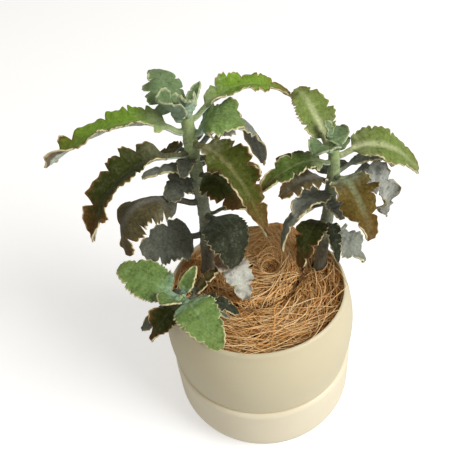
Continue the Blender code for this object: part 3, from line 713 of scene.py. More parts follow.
def lean_of(spec):
    """The lean that brings the midrib onto this leaf's solid."""
    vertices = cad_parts[spec[0]].data.vertices
    tree = KDTree(len(vertices))
    for index, vertex in enumerate(vertices):
        tree.insert(vertex.co, index)
    tree.balance()
    best, least = None, math.inf
    for lean in leaning_choices():
        centre, start, control, end, _, _ = midrib_points(spec, lean)
        miss = 0
        for place in (PETIOLE_SHARE, (PETIOLE_SHARE + 1) / 2, 1):
            point = start * (1 - place) ** 2 + control * (2 * place * (1 - place)) + end * place ** 2
            miss += tree.find((centre + point) * MM)[2]
        if miss < least - 1e-6:
            best, least = lean, miss
    return best


def lobes_of(along, count, draw):
    """One margin's lobes: how far each stands out, its small teeth, its depth and its own lift."""
    widths = draw.uniform(0.45, 1.55, count)
    breaks = np.concatenate([[0], np.cumsum(widths) / widths.sum()])
    which = np.clip(np.searchsorted(breaks, along, side="right") - 1, 0, count - 1)
    part = np.clip((along - breaks[which]) / (breaks[which + 1] - breaks[which]), 0, 1)
    rise, fall = draw.uniform(0.08, 0.28, (2, count))
    crown = np.minimum(np.minimum(part / rise[which], (1 - part) / fall[which]), 1) ** 0.8
    crown *= 0.86 + 0.14 * part
    teeth = 1 - np.abs(2 * ((part * 3 + 0.1) % 1) - 1)
    deep = draw.uniform(0.55, 1.3, count)[which]
    lift = draw.uniform(-1.0, 1.0, count)[which] * np.sin(np.pi * part)
    return np.stack([crown, teeth, deep, lift])


def blade_share(along):
    """Half width of a blade, as a share of its widest, from its base to its tip."""
    inside = np.clip(along * 0.95 + 0.02, 0, 1)
    return np.sin(np.pi * inside ** 0.68) ** 0.6


def blade_mesh(spec, lean, index, settings, liveliness=1.0, width=1.0):
    """Points, faces and attributes of one felted leaf, petiole and blade in one skin."""
    name, _, _, _, _, _, half_width, fold, roll, teeth, kind = spec
    depth, *bends = OWN_SHAPES.get(name, SHAPES[kind])
    ruffle, curl, hook = (bend * liveliness for bend in bends)
    centre, start, control, end, side, out = midrib_points(spec, lean)
    half_width = half_width * lean[2] * width
    stalk = petiole_radius(half_width)
    draw = np.random.RandomState(100 + index)
    rows = 14 + 20 * teeth
    columns = 21
    places = np.concatenate([[-0.09, -0.03, 0.02, 0.06, 0.1], np.linspace(PETIOLE_SHARE, 1, rows)])
    span = np.array([np.array(v) for v in (start, control, end)])
    t = places[:, None]
    spine = span[0] * (1 - t) ** 2 + span[1] * 2 * t * (1 - t) + span[2] * t ** 2
    tangent = (span[1] - span[0]) * (1 - t) + (span[2] - span[1]) * t
    tangent /= np.linalg.norm(tangent, axis=1)[:, None]
    inward = places < 0
    spine[inward] = span[0] - np.array(out) * (-places[inward, None]) * 42
    along = np.clip((places - PETIOLE_SHARE) / (1 - PETIOLE_SHARE), 0, 1)
    level = np.repeat(np.array(side)[None], len(places), 0)
    normal = np.cross(tangent, level)
    tilt = np.radians(roll) * np.clip(places * 2, 0, 1)[:, None]
    across = level * np.cos(tilt) + normal * np.sin(tilt)
    normal = normal * np.cos(tilt) - level * np.sin(tilt)
    blend = np.clip(along / 0.06, 0, 1)[:, None]
    blend = blend * blend * (3 - 2 * blend)
    u = np.sin(np.linspace(-1, 1, columns) * np.pi / 2)[None]
    far = np.abs(u)
    right = (u > 0).astype(float)
    body = half_width * blade_share(along)[:, None]
    margins = [lobes_of(along, teeth + extra, draw)[..., None] for extra in (0, 1)]
    crown, small, deep, lift = margins[0] * (1 - right) + margins[1] * right
    fade = np.clip(along / 0.10, 0, 1)[:, None] * np.clip((1 - along) / 0.05, 0.2, 1)[:, None]
    tooth = 0.04 if kind == "young" else 0.10
    cut = np.clip((depth * (1 - crown) * deep + tooth * (1 - small)) * fade * blend, 0.01, 0.88)
    full = stalk * (1 - blend) + np.maximum(body * (1 + 0.12 * liveliness), 0.9) * blend
    reach = far * full * (1 - cut * far ** np.minimum(0.85 * (1 / cut - 1), 4))
    share = reach / full
    bend = np.radians(fold) * blend
    height = full * (np.sqrt(share ** 2 + 0.03) - math.sqrt(0.03)) * np.sin(bend)
    height -= full * curl * share ** 3 * blend
    front = right if side[1] < 0 else 1 - right
    height -= full * (0.24 if fold > 20 else 0.06) * liveliness * share ** 5 * front * blend
    height += half_width * ruffle * far ** 2 * share * (lift + 0.4 * (crown - 0.6)) * 1.5 * blend * fade
    pucker = np.sin(2 * np.pi * (teeth * 0.5 * along[:, None] + draw.uniform() + 0.4 * right))
    height += half_width * 0.5 * ruffle * share ** 1.6 * pucker * blend * fade
    lateral = np.sign(u) * reach * np.cos(bend * share)
    forward = 0.12 * half_width * (crown - 0.4) * far ** 3 * fade * blend
    tip_bend = half_width * hook * np.clip((along[:, None] - 0.55) / 0.45, 0, 1) ** 2.2
    skin = spine[:, None] + across[:, None] * lateral[..., None]
    skin += normal[:, None] * (height - tip_bend)[..., None] + tangent[:, None] * forward[..., None]
    face = np.cross(np.gradient(skin, axis=0), np.gradient(skin, axis=1))
    face /= np.linalg.norm(face, axis=2)[..., None] + 1e-9
    middle_thick, edge_thick = settings.thickness / MM, settings.margin / MM
    inset = full * (1 - cut) - reach
    thin = edge_thick + (middle_thick - edge_thick) * (1 - far) ** 1.4
    bead = 0.6 * np.exp(-(((inset - 0.5) / 0.6) ** 2))
    blade_thick = (thin + bead) * np.sqrt(1 - far ** 14)
    round_thick = 1.8 * stalk * np.sqrt(np.maximum(0, 1 - u ** 2))
    thick = round_thick * (1 - blend) + blade_thick * blend
    fading = np.clip(1 - along[:, None], 0, 1) * blend
    ridge = 1.0 * np.exp(-((lateral / 1.4) ** 2)) * fading
    groove = 0.4 * np.exp(-((lateral / 1.0) ** 2)) * fading
    veins = 0.07 * np.sin(2 * np.pi * (along[:, None] * teeth * 2 - far * 0.7)) * far * (1 - far) * 4 * fading
    swell = np.clip(-places, 0, 1)[:, None] * 6 * np.sqrt(np.maximum(0, 1 - u ** 2))
    crumple = 2.2 if kind == "silver" else 0.7 if kind == "grey" else 0.45
    soft = lumps(len(places), columns, draw) * crumple * blend
    top = skin + face * (thick / 2 - groove + swell + soft + veins)[..., None]
    bottom = skin - face * (thick / 2 + ridge + swell - soft - veins)[..., None]
    mirrored = slice(-2, 0, -1)
    rings = np.concatenate([top, bottom[:, mirrored]], axis=1)
    size = rings.shape[1]
    margin = inset / 5.0 * blend + (1 - blend)
    midrib = np.abs(lateral) / 5.0
    attributes = {
        "upper": np.concatenate([np.ones_like(margin), np.zeros_like(margin[:, mirrored])], 1).ravel(),
        "margin": np.concatenate([margin, margin[:, mirrored]], 1).ravel(),
        "midrib": np.concatenate([midrib, midrib[:, mirrored]], 1).ravel(),
        "along": np.repeat(along[:, None], size, 1).ravel(),
    }
    points = (rings.reshape(-1, 3) + np.array(centre)) * MM
    return points, ring_faces(len(places), size), attributes


def lumps(rows, columns, draw):
    """Soft unevenness over a blade, about 1 at most."""
    coarse = draw.uniform(-1, 1, (rows // 7 + 3, 7))
    row_places = np.linspace(0, coarse.shape[0] - 1.001, rows)
    column_places = np.linspace(0, coarse.shape[1] - 1.001, columns)
    low_row, low_column = row_places.astype(int), column_places.astype(int)
    row_share = (row_places - low_row)[:, None]
    column_share = (column_places - low_column)[None]
    row_share = row_share * row_share * (3 - 2 * row_share)
    column_share = column_share * column_share * (3 - 2 * column_share)
    first = coarse[low_row][:, low_column] * (1 - column_share)
    first = first + coarse[low_row][:, low_column + 1] * column_share
    second = coarse[low_row + 1][:, low_column] * (1 - column_share)
    second += coarse[low_row + 1][:, low_column + 1] * column_share
    return first * (1 - row_share) + second * row_share


def make_leaf_materials(settings, group):
    """One felted material for each look of leaf."""
    names = ("Face", "Vein", "Felt", "Underside", "Band", "Edge")
    values = (
        "Felt Reach", "Band Width", "Under Band", "Edge Width",
        "Vein Strength", "Variation", "Tip Browning", "Vein Width",
    )
    faces = {
        "green": settings.green_colour,
        "felted": settings.felted_colour,
        "pale": settings.pale_colour,
        "young": settings.young_colour,
        "olive": settings.olive_colour,
        "shaded": settings.painted_shade_green_colour,
        "golden": settings.golden_colour,
        "frosted_painted_light": settings.frosted_painted_light_colour,
        "bronzed": settings.bronzed_colour,
        "brown": settings.brown_colour,
        "hoary": settings.hoary_colour,
        "grey": settings.grey_colour,
        "dusky": settings.dusky_colour,
        "silver": settings.silver_colour,
        "dried": settings.dried_colour,
    }
    # Vein, felt and underside colours, then the values in the order named above
    pale_felt, grey_felt = (0.30, 0.36, 0.19), (0.16, 0.18, 0.14)
    looks = {
        "green": (
            (0.32, 0.40, 0.19), pale_felt, None,
            0.36, 0.36, 0.70, 0.17, 0.35, 0.55, 0.8, 0.3,
        ),
        "felted": (
            (0.27, 0.38, 0.22), (0.24, 0.36, 0.24), None,
            0.30, 0.02, 0.20, 0.26, 0.35, 0.8, 0.15, 0.3,
        ),
        "pale": (
            (0.46, 0.50, 0.27), (0.22, 0.25, 0.10), None,
            0.40, 0.22, 0.40, 0.20, 1.0, 0.8, 0.2, 0.9,
        ),
        # Painted shade: darker copies of the green look's vein and felt colours
        "shaded": (
            (0.26, 0.30, 0.14), (0.20, 0.24, 0.12), None,
            0.34, 0.20, 0.60, 0.22, 0.6, 0.6, 0.5, 0.3,
        ),
        "golden": (
            (0.24, 0.29, 0.16), (0.19, 0.23, 0.15), (0.20, 0.22, 0.19),
            0.42, 0.34, 0.60, 0.16, 0.8, 0.8, 0.6, 0.8,
        ),
        # Paler felt and painted light: lighter copies of the grey look's face, vein and underside colours
        "frosted_painted_light": (
            (0.26, 0.29, 0.24), grey_felt, (0.22, 0.24, 0.21),
            0.20, 0.06, 0.15, 0.20, 0.4, 0.8, 0.15, 0.3,
        ),
        "young": (
            (0.27, 0.36, 0.24), (0.24, 0.33, 0.22), (0.26, 0.35, 0.25),
            0.30, 0.03, 0.10, 0.32, 0.4, 0.5, 0.0, 0.3,
        ),
        "olive": (
            (0.12, 0.13, 0.06), (0.13, 0.13, 0.07), None,
            0.30, 0.50, 0.70, 0.10, 0.4, 0.7, 0.9, 0.3,
        ),
        "bronzed": (
            (0.22, 0.20, 0.09), (0.20, 0.20, 0.10), grey_felt,
            0.30, 0.50, 0.60, 0.14, 0.7, 0.7, 0.7, 0.6,
        ),
        "brown": (
            (0.15, 0.15, 0.09), grey_felt, (0.20, 0.22, 0.19),
            0.25, 0.36, 0.60, 0.14, 0.6, 0.8, 0.7, 0.3,
        ),
        "hoary": (
            (0.17, 0.16, 0.13), (0.14, 0.14, 0.11), (0.10, 0.10, 0.08),
            0.30, 0.30, 0.40, 0.12, 1.3, 0.8, 0.4, 1.0,
        ),
        "grey": (
            (0.15, 0.17, 0.13), grey_felt, (0.16, 0.18, 0.15),
            0.20, 0.06, 0.15, 0.14, 0.3, 0.7, 0.15, 0.3,
        ),
        "dusky": (
            (0.10, 0.12, 0.08), (0.09, 0.105, 0.075), (0.14, 0.16, 0.13),
            0.35, 0.06, 0.15, 0.13, 0.3, 1.0, 0.1, 0.3,
        ),
        "silver": (
            (0.22, 0.23, 0.20), (0.12, 0.13, 0.11), (0.26, 0.27, 0.245),
            0.30, 0.15, 0.20, 0.10, 0.3, 1.0, 0.4, 0.3,
        ),
        "dried": (
            (0.48, 0.47, 0.40), (0.28, 0.12, 0.035), (0.36, 0.36, 0.31),
            0.55, 0.10, 0.25, 0.08, 0.2, 1.0, 0.1, 0.3,
        ),
    }
    under = tuple(settings.underside_colour)
    band, edge = tuple(settings.band_colour), tuple(settings.edge_colour)
    grey_band = (0.10, 0.085, 0.055)
    materials = {}
    for name, (vein, base, below, *numbers) in looks.items():
        rim_band = grey_band if name in ("grey", "dusky", "silver") else band
        # Young leaves get a brighter edge: pale fuzz, with a painted highlight along the edge
        fuzz_and_highlight_fringe = (0.48, 0.53, 0.30) if name == "young" else edge
        colours = (tuple(faces[name]), vein, base, below or under, rim_band, fuzz_and_highlight_fringe)
        inputs = {key: rgba(colour) for key, colour in zip(names, colours)}
        inputs.update(zip(values, numbers))
        materials[name] = new_material(
            f"leaf_{name}", group, inputs, 0.55, 0.0006,
            shine=0.15, sheen=0.06, sheen_tint=(0.86, 0.90, 0.74, 1),
        )
    return materials


def stem_mesh(name, index):
    """A felted stem with swollen, scarred nodes: rings along its line, a little uneven."""
    points = STEMS[name][0]
    nodes = [spec[2] for spec in LEAVES if spec[1] == name]
    low, high = points[0][2], points[-1][2] + 2.5
    rows, around = int((high - low) / 1.2), 24
    made, heights = [], []
    for row in range(rows + 1):
        z = low + (high - low) * row / rows
        centre, radius = stem_at(name, min(z, points[-1][2]))
        centre = Vector((centre.x, centre.y, z))
        if z > points[-1][2]:
            radius *= math.sqrt(max(0.04, 1 - ((z - points[-1][2]) / 2.6) ** 2))
        knot = max([math.exp(-((z - node) / 1.8) ** 2) for node in nodes] + [0])
        scar = 0.35 * math.sin(z * 1.7) * (1 if z < 200 else 0.4)
        for step in range(around):
            angle = 2 * math.pi * step / around
            ribs = 0.10 * math.cos(4 * angle + z * 0.05)
            rough = noise.noise(Vector((math.cos(angle) * 2, math.sin(angle) * 2, z * 0.22 + index * 9)))
            r = radius * (0.94 + 0.10 * knot + 0.05 * rough) + ribs + scar * 0.25
            made.append((centre + Vector((r * math.cos(angle), r * math.sin(angle), 0))) * MM)
            heights.append((z - 112) / (points[-1][2] - 112))
    return made, ring_faces(rows + 1, around), {"height": np.clip(heights, 0, 1)}


def make_stem_material(settings, felt):
    """Dark corky bark below that passes to pale green felt above."""
    group, _, result = new_group(
        "KalanchoeStem",
        [("Low", "Color", rgba(settings.low_colour)), ("High", "Color", rgba(settings.high_colour))],
        [("Color", "Color"), ("Height", "Float"), ("Roughness", "Float")],
    )
    given = group.nodes["Group Input"]
    rise = attribute(group, "height")
    place = object_place(group)
    mottle = noise_value(group, place, 260.0, 4.0)
    level = math_node(group, "ADD", rise, swing_node(group, mottle, 0.5))
    middle = (0.23, 0.25, 0.175, 1)
    colour = mix_colour(group, smooth_step(group, level, 0.12, 0.50), given.outputs["Low"], middle)
    colour = mix_colour(group, smooth_step(group, level, 0.55, 0.95), colour, given.outputs["High"])
    fuzz = add_node(group, "ShaderNodeGroup", node_tree=felt)
    group.links.new(colour, fuzz.inputs["Base"])
    fuzz.inputs["Variation"].default_value = 0.5
    fuzz.inputs["Fuzz"].default_value = 1.0
    for name in ("Color", "Height", "Roughness"):
        group.links.new(fuzz.outputs[name], result.inputs[name])
    return new_material(
        "stem_felt", group, {"Low": rgba(settings.low_colour), "High": rgba(settings.high_colour)},
        0.6, 0.0006,
        shine=0.25, sheen=0.25,
    )


# Coir


def bell(distance, width):
    """1 at no distance, falling smoothly away over about the width given."""
    return np.exp(-((distance / width) ** 2))


def furrow(x, y):
    """Where the inner nest of fibres parts from the ring along the wall: 1 in the furrow."""
    away = np.hypot(x - NEST[0], y - NEST[1]) - NEST_RADIUS
    front = 1 / (1 + np.exp((y - 24 * MM) / (5 * MM)))
    pit = bell(np.hypot(x - 40 * MM, y - 15 * MM), 7 * MM)
    return np.minimum(1, bell(away, 3 * MM) * front + pit)


def coir_height(x, y):
    """Height of the mulch: raised towards the wall, with a hump, a hollow and a furrow."""
    rise = 2.5 * MM + 2.5 * MM * (x * 0.9 + y * 0.4) / (63.3 * MM)
    level = COIR_LEVEL + np.maximum(rise, 1.5 * MM) * (np.hypot(x, y) / (63.3 * MM)) ** 2
    hump = 17 * MM * bell(np.hypot(x - HUMP[0], (y - HUMP[1]) * 1.2), 15 * MM)
    hollow = 8 * MM * bell(np.hypot(x - EYE[0], y - EYE[1]), 7 * MM)
    return level + hump - hollow - 4.5 * MM * furrow(x, y)


def coir_mat_mesh():
    """The matted layer under the loose fibres."""
    rings, sectors = 30, 96
    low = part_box("coir_mulch")[0].z
    points = [(0, 0, coir_height(0, 0) - 2 * MM), (0, 0, low)]
    for ring in range(1, rings + 1):
        for sector in range(sectors):
            angle = 2 * math.pi * sector / sectors
            r = COIR_RADIUS * ring / rings
            x, y = r * math.cos(angle), r * math.sin(angle)
            rough = 1.3 * MM * noise.fractal(Vector((x, y, 0)) * 190, 0.7, 2.0, 3)
            points.append((x, y, coir_height(x, y) - 2.4 * MM + rough))
    edge = len(points)
    for sector in range(sectors):
        angle = 2 * math.pi * sector / sectors
        points.append((COIR_RADIUS * math.cos(angle), COIR_RADIUS * math.sin(angle), low))
    faces = []
    for sector in range(sectors):
        after = (sector + 1) % sectors
        faces.append((0, 2 + sector, 2 + after))
        for ring in range(rings - 1):
            inner, outer = 2 + ring * sectors, 2 + (ring + 1) * sectors
            faces.append((inner + sector, outer + sector, outer + after, inner + after))
        last = 2 + (rings - 1) * sectors
        faces.append((last + sector, edge + sector, edge + after, last + after))
        faces.append((1, edge + after, edge + sector))
    return points, faces


def round_about(place, centre):
    """Unit steps anticlockwise about a centre."""
    gap = place - centre
    turned_gap = np.stack([-gap[:, 1], gap[:, 0]], 1)
    return turned_gap / (np.hypot(gap[:, 0], gap[:, 1])[:, None] + 0.5 * MM)


def fibre_flow(place):
    """The way the fibres lie: about the eye, round the nest, and outside it along the wall."""
    from_eye = np.hypot(*(place - EYE).T)[:, None]
    from_nest = np.hypot(*(place - NEST).T)[:, None]
    near_eye = bell(from_eye, 17 * MM)
    outside = 1 / (1 + np.exp((NEST_RADIUS - from_nest) / (2 * MM)))
    nest = round_about(place, NEST) * (1 - near_eye) + round_about(place, EYE) * near_eye * 1.5
    return nest * (1 - outside) + round_about(place, np.zeros(2)) * outside


def fibre_paths(count, steps, seed, loose):
    """Paths of many fibres at once, with the thickness and tone of each; the tone also carries painted shade.
    """
    draw = np.random.RandomState(seed)
    reach = draw.uniform(14, 40, count) * MM * (1.5 if loose else 1)
    r = (COIR_RADIUS - 0.6 * MM) * np.sqrt(draw.uniform(0, 1, count))
    angle = draw.uniform(0, 2 * math.pi, count)
    place = np.stack([r * np.cos(angle), r * np.sin(angle)], 1)
    humped = draw.uniform(size=count) < 0.13
    place[humped] = HUMP + draw.normal(0, 8, (humped.sum(), 2)) * MM
    place *= np.minimum(1, (COIR_RADIUS - 0.6 * MM) / (np.hypot(*place.T)[:, None] + 1e-9))
    way = np.where(draw.uniform(size=count) < 0.5, 1, -1)[:, None]
    stray = draw.normal(0, 0.5 if loose else 0.20, count)
    bend = draw.normal(0, 26 if loose else 9, count)
    wave = draw.uniform(0.0, 0.28, count)
    phase = draw.uniform(0, 6.3, count)
    lift = draw.uniform(-1.6, 0.7, count) * MM + (1.0 * MM if loose else 0)
    hop = draw.uniform(0.3, 3.4, count) * MM if loose else draw.uniform(0, 1.1, count) * MM
    paths = np.empty((count, steps + 1, 3))
    for step in range(steps + 1):
        share = step / steps
        arch = math.sin(math.pi * share) * hop
        paths[:, step, :2] = place
        paths[:, step, 2] = coir_height(place[:, 0], place[:, 1]) + lift + arch
        turn = stray + bend * reach * (share - 0.4) + wave * np.sin(9 * share + phase)
        flow = fibre_flow(place) * way
        cos_turn, sin_turn = np.cos(turn), np.sin(turn)
        flow = np.stack(
            [flow[:, 0] * cos_turn - flow[:, 1] * sin_turn, flow[:, 0] * sin_turn + flow[:, 1] * cos_turn], 1
        )
        flow /= np.hypot(*flow.T)[:, None] + 1e-9
        place = place + flow * (reach / steps)[:, None]
        out = np.hypot(*place.T)[:, None]
        place = place * np.minimum(1, (COIR_RADIUS - 0.3 * MM) / (out + 1e-9))
        for points, _ in STEMS.values():
            gap = place - np.array(points[1][:2]) * MM
            near = np.hypot(*gap.T)[:, None]
            place = np.where(near < 6.4 * MM, place + gap / (near + 1e-9) * (6.4 * MM - near), place)
    middle = paths[:, steps // 2]
    # Painted shade: fibres in the furrow and its pit are darker
    tone_and_shade = draw.uniform(0, 1, count) - 0.55 * furrow(middle[:, 0], middle[:, 1]) + (0.3 if loose else 0)
    # Painted shade: fibres in the hollow at the eye are darker
    tone_and_shade -= 0.8 * bell(np.hypot(*(middle[:, :2] - EYE).T), 6 * MM)
    # Painted shade and light: fibres that lie lower are darker, raised ones lighter
    tone_and_shade += 0.9 * (lift / MM) * 0.14
    return paths, draw.uniform(0.6, 1.25, count), tone_and_shade


def rim_strays(steps):
    """A few stiff fibres that lean out over the rim."""
    draw = np.random.RandomState(3)
    paths = []
    for azimuth in STRAY_AZIMUTHS:
        heading = math.radians(azimuth)
        slew = math.radians(draw.uniform(-50, 50))
        start, end = 50 * MM, RIM_OUTER + draw.uniform(-0.5, 1.2) * MM
        path = []
        for step in range(steps + 1):
            share = step / steps
            r = start + (end - start) * share
            climb = math.sin(math.pi * 0.5 * share) ** 0.8
            z = COIR_LEVEL + 1 * MM + (RIM_HEIGHT + 0.4 * MM - COIR_LEVEL) * climb
            turn = heading + slew * (share - 0.8)
            path.append((r * math.cos(turn), r * math.sin(turn), z + 0.8 * MM * math.sin(math.pi * share)))
        paths.append(path)
    count = len(paths)
    return np.array(paths), draw.uniform(0.8, 1.1, count), draw.uniform(0.8, 1.1, count)


def fibre_mesh(paths, thick, tone_and_shade, radius):
    """Fibres as fine tapered tubes of three sides, each with its own tone, painted shade included."""
    count, rows, _ = paths.shape
    sides = 3
    tangent = np.gradient(paths, axis=1)
    tangent /= np.linalg.norm(tangent, axis=2)[..., None] + 1e-9
    across = np.cross(tangent, (0, 0, 1.0))
    across /= np.linalg.norm(across, axis=2)[..., None] + 1e-9
    up = np.cross(across, tangent)
    turn = 2 * math.pi * np.arange(sides) / sides + math.pi / 2
    taper = np.sin(np.pi * np.linspace(0.08, 0.92, rows)) ** 0.4
    wide = (taper[None] * thick[:, None] * radius)[..., None, None]
    ring = across[:, :, None] * np.cos(turn)[:, None] + up[:, :, None] * np.sin(turn)[:, None]
    points = (paths[:, :, None] + ring * wide).reshape(-1, 3)
    one = np.array([face for face in ring_faces(rows, sides) if len(face) == 4])
    starts = np.arange(count) * rows * sides
    faces = (one[None] + starts[:, None, None]).reshape(-1, 4).tolist()
    last = (rows - 1) * sides
    for start in starts.tolist():
        faces.append((start + 2, start + 1, start))
        faces.append((start + last, start + last + 1, start + last + 2))
    return points, faces, {"tone_and_shade": np.repeat(tone_and_shade, rows * sides)}


def make_coir_material(settings):
    """Fibres from dark to pale gold, each mottled along its length; their tone carries painted shade in the
    hollows and low down.
    """
    group, given, result = new_group(
        "KalanchoeCoir",
        [("Dark", "Color", rgba(settings.dark_colour)), ("Pale", "Color", rgba(settings.pale_colour))],
        [("Color", "Color"), ("Height", "Float"), ("Roughness", "Float")],
    )
    tone_and_shade = attribute(group, "tone_and_shade")
    place = object_place(group)
    mottle = noise_value(group, place, 420.0, 2.0)
    drift = noise_value(group, place, 45.0, 2.0)
    value = math_node(group, "ADD", tone_and_shade, swing_node(group, mottle, 0.5))
    value = math_node(group, "ADD", value, swing_node(group, drift, 0.8))
    gold = (0.80, 0.42, 0.125, 1)
    colour = mix_colour(group, smooth_step(group, value, -0.15, 0.40), given.outputs["Dark"], gold)
    colour = mix_colour(group, smooth_step(group, value, 0.55, 1.15), colour, given.outputs["Pale"])
    group.links.new(colour, result.inputs["Color"])
    group.links.new(noise_value(group, place, 1800.0, 2.0), result.inputs["Height"])
    rough = math_node(group, "ADD", math_node(group, "MULTIPLY", mottle, 0.2), 0.5)
    group.links.new(rough, result.inputs["Roughness"])
    values = {"Dark": rgba(settings.dark_colour), "Pale": rgba(settings.pale_colour)}
    return new_material("coir_fibre", group, values, 0.2, 0.0002, shine=0.4)


def make_mat_material(name, colour, felt):
    return new_material(name, felt, {"Base": rgba(colour), "Variation": 1.0, "Fuzz": 0.9}, 0.9, 0.001)


# Operators


class KALANCHOE_OT_pot(bpy.types.Operator):
    """Turn the planter and its saucer and glaze them"""

    bl_idname = "kalanchoe.pot"
    bl_label = "Planter and Saucer"

    def execute(self, context):
        settings = context.scene.kalanchoe_pot
        glaze = make_glaze_group()
        saucer = turned("saucer_turned", saucer_profile(), False, settings.steps)
        planter = turned("planter_turned", planter_profile(settings.rim_width), True, settings.steps)
        for piece, node, colour in (
            (saucer, "saucer", settings.saucer_colour),
            (planter, "planter", settings.planter_colour),
        ):
            material = new_material(
                f"{node}_glaze", glaze, {"Base": rgba(colour), "Clouding": 0.6}, 0.12, 0.0008,
                shine=0.4,
            )
            dress(piece, material, f"{node}_glaze", node)
        return {"FINISHED"}


class KALANCHOE_OT_filling(bpy.types.Operator):
    """Fill the planter with potting mix and lay the coir mulch on it"""

    bl_idname = "kalanchoe.filling"
    bl_label = "Potting Mix and Coir"

    def execute(self, context):
        settings = context.scene.kalanchoe_coir
        felt = bpy.data.node_groups.get("KalanchoeFelt") or make_felt_group()
        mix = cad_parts["potting_mix"]
        mix.data.materials.clear()
        mix.data.materials.append(make_mat_material("potting_mix", (0.03, 0.02, 0.013), felt))
        points, faces = coir_mat_mesh()
        mat = link_mesh("coir_mat", points, faces)
        # The mat's near-black colour is painted shade between the fibres
        dress(mat, make_mat_material("coir_mat", settings.painted_gap_shade_colour, felt), "coir_fibre", "coir_mulch")
        material = make_coir_material(settings)
        for name, paths, wide in (
            ("coir_fibres", fibre_paths(settings.fibres, 11, 7, False), 1.0),
            ("coir_strands", fibre_paths(settings.strands, 20, 8, True), 1.35),
            ("coir_strays", rim_strays(20), 1.25),
        ):
            points, faces, tones = fibre_mesh(*paths, settings.fibre_radius * wide)
            dress(link_mesh(name, points, faces, tones), material, "coir_fibre", "coir_mulch")
        return {"FINISHED"}


class KALANCHOE_OT_stems(bpy.types.Operator):
    """Grow the three stems"""

    bl_idname = "kalanchoe.stems"
    bl_label = "Stems"

    def execute(self, context):
        settings = context.scene.kalanchoe_stems
        felt = bpy.data.node_groups.get("KalanchoeFelt") or make_felt_group()
        material = make_stem_material(settings, felt)
        for index, name in enumerate(STEMS):
            points, faces, heights = stem_mesh(name, index)
            dress(link_mesh(f"{name}_grown", points, faces, heights), material, "stem_felt", name)
        return {"FINISHED"}


def clear_blade(spec, index, settings, grown):
    """The liveliest form of a leaf that stays clear of the leaves already grown."""
    lean = lean_of(spec)
    best = None
    for liveliness, width in CALMER_FORMS:
        blade = blade_mesh(spec, lean, index, settings, liveliness, width)
        points = np.asarray(blade[0]).tolist()
        faces = [[int(corner) for corner in face] for face in blade[1]]
        tree = BVHTree.FromPolygons(points, faces)
        crossings = sum(len(tree.overlap(other)) for other in grown)
        if best is None or crossings < best[0]:
            best = (crossings, blade, tree)
        if crossings == 0:
            break
    grown.append(best[2])
    return best[1]


class KALANCHOE_OT_leaves(bpy.types.Operator):
    """Grow every leaf where its solid is"""

    bl_idname = "kalanchoe.leaves"
    bl_label = "Leaves"

    def execute(self, context):
        settings = context.scene.kalanchoe_leaves
        felt = bpy.data.node_groups.get("KalanchoeFelt") or make_felt_group()
        materials = make_leaf_materials(settings, make_leaf_group(felt))
        grown = []
        for index, spec in enumerate(LEAVES):
            points, faces, attributes = clear_blade(spec, index, settings, grown)
            leaf = link_mesh(f"{spec[0]}_blade", points, faces, attributes)
            look = OWN_LOOKS.get(spec[0], spec[-1])
            dress(leaf, materials[look], f"leaf_{spec[-1]}", spec[0])
        return {"FINISHED"}


class KALANCHOE_OT_stage(bpy.types.Operator):
    """Lay the floor, hang the lights and place the camera"""

    bl_idname = "kalanchoe.stage"
    bl_label = "Stage"

    def execute(self, context):
        settings = context.scene.kalanchoe_stage
        make_floor(settings)
        make_light("key_light", KEY_PLACE, LIT_POINT, KEY_SIZE, settings.key_power)
        make_light("fill_light", FILL_PLACE, LIT_POINT, FILL_SIZE, settings.fill_power)
        make_world(settings.sky)
        make_camera()
        set_tones(context.scene)
        return {"FINISHED"}


class KALANCHOE_PT_panel(bpy.types.Panel):
    """Lists the pieces of the kalanchoe and their settings"""

    bl_idname = "KALANCHOE_PT_panel"
    bl_label = "Potted Kalanchoe"
    bl_space_type = "VIEW_3D"
    bl_region_type = "UI"
    bl_category = "Kalanchoe"

    def draw(self, context):
        for operator, group in STEPS:
            box = self.layout.box()
            box.operator(operator.bl_idname)
            settings = getattr(context.scene, group)
            for key in settings.__annotations__:
                box.prop(settings, key)


# Stage


def make_floor(settings):
    """A wide plain floor under the saucer."""
    half = 3.0
    corners = [(-half, -half, 0), (half, -half, 0), (half, half, 0), (-half, half, 0)]
    floor = link_mesh("floor", corners, [(0, 1, 2, 3)])
    material = bpy.data.materials.new("floor_paper")
    material.use_nodes = True
    shader = material.node_tree.nodes["Principled BSDF"]
    shader.inputs["Base Color"].default_value = rgba(settings.floor_colour)
    shader.inputs["Roughness"].default_value = 0.9
    shader.inputs["Specular IOR Level"].default_value = 0.1
    shader.inputs["Emission Color"].default_value = (1, 1, 1, 1)
    seen = add_node(material.node_tree, "ShaderNodeLightPath").outputs["Is Camera Ray"]
    glow = math_node(material.node_tree, "MULTIPLY", seen, 0.45)
    material.node_tree.links.new(glow, shader.inputs["Emission Strength"])
    floor.data.materials.append(material)


def aimed(place, target):
    """A matrix at a place whose -Z axis looks at a target."""
    turn = (Vector(target) - Vector(place)).to_track_quat("-Z", "Y")
    return Matrix.Translation(place) @ turn.to_matrix().to_4x4()


def make_light(name, place, target, size, power):
    light = bpy.data.lights.new(name, "AREA")
    light.shape = "DISK"
    light.size = size
    light.energy = power
    lamp = bpy.data.objects.new(name, light)
    lamp.matrix_world = aimed(place, target)
    bpy.context.scene.collection.objects.link(lamp)


def make_world(strength):
    world = bpy.data.worlds.new("studio")
    world.use_nodes = True
    background = world.node_tree.nodes["Background"]
    background.inputs["Color"].default_value = (1.0, 0.95, 0.875, 1)
    background.inputs["Strength"].default_value = strength
    bpy.context.scene.world = world


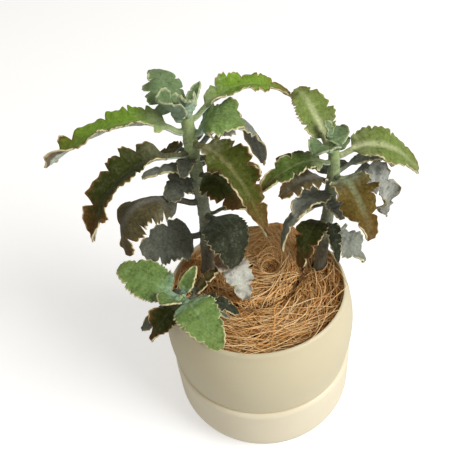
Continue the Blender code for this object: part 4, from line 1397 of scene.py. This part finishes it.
def set_tones(scene):
    """Plain tones, so that colours look as they are set."""
    scene.view_settings.view_transform = "Standard"


def make_camera():
    """A camera held a little left of the pot, looking down on it."""
    place = Vector((-0.0252, -0.2625, 0.3976))
    pitch, yaw, roll = math.radians(40.4), math.radians(2.3), math.radians(-6.7)
    ahead = Vector((math.sin(yaw) * math.cos(pitch), math.cos(yaw) * math.cos(pitch), -math.sin(pitch)))
    level = Vector((math.cos(yaw), -math.sin(yaw), 0))
    upward = level.cross(ahead)
    right = level * math.cos(roll) + upward * math.sin(roll)
    top = upward * math.cos(roll) - level * math.sin(roll)
    matrix = Matrix((right, top, -ahead)).transposed().to_4x4()
    matrix.translation = place
    lens = bpy.data.cameras.new("camera")
    lens.sensor_width = SENSOR_WIDTH
    lens.lens = LENS_LENGTH
    lens.clip_start = 0.01
    camera = bpy.data.objects.new("camera", lens)
    camera.matrix_world = matrix
    bpy.context.scene.collection.objects.link(camera)
    bpy.context.scene.camera = camera


STEPS = (
    (KALANCHOE_OT_pot, "kalanchoe_pot"),
    (KALANCHOE_OT_filling, "kalanchoe_coir"),
    (KALANCHOE_OT_stems, "kalanchoe_stems"),
    (KALANCHOE_OT_leaves, "kalanchoe_leaves"),
    (KALANCHOE_OT_stage, "kalanchoe_stage"),
)
SETTINGS = {
    "kalanchoe_pot": PotSettings,
    "kalanchoe_coir": CoirSettings,
    "kalanchoe_stems": StemSettings,
    "kalanchoe_leaves": LeafSettings,
    "kalanchoe_stage": StageSettings,
}
CLASSES = (*SETTINGS.values(), *(operator for operator, _ in STEPS), KALANCHOE_PT_panel)


def register():
    for item in CLASSES:
        bpy.utils.register_class(item)
    for name, settings in SETTINGS.items():
        setattr(bpy.types.Scene, name, bpy.props.PointerProperty(type=settings))


def unregister():
    for name in SETTINGS:
        delattr(bpy.types.Scene, name)
    for item in reversed(CLASSES):
        bpy.utils.unregister_class(item)


def main():
    register()
    for operator, _ in STEPS:
        group, name = operator.bl_idname.split(".")
        getattr(getattr(bpy.ops, group), name)()


if __name__ == "__main__":
    main()
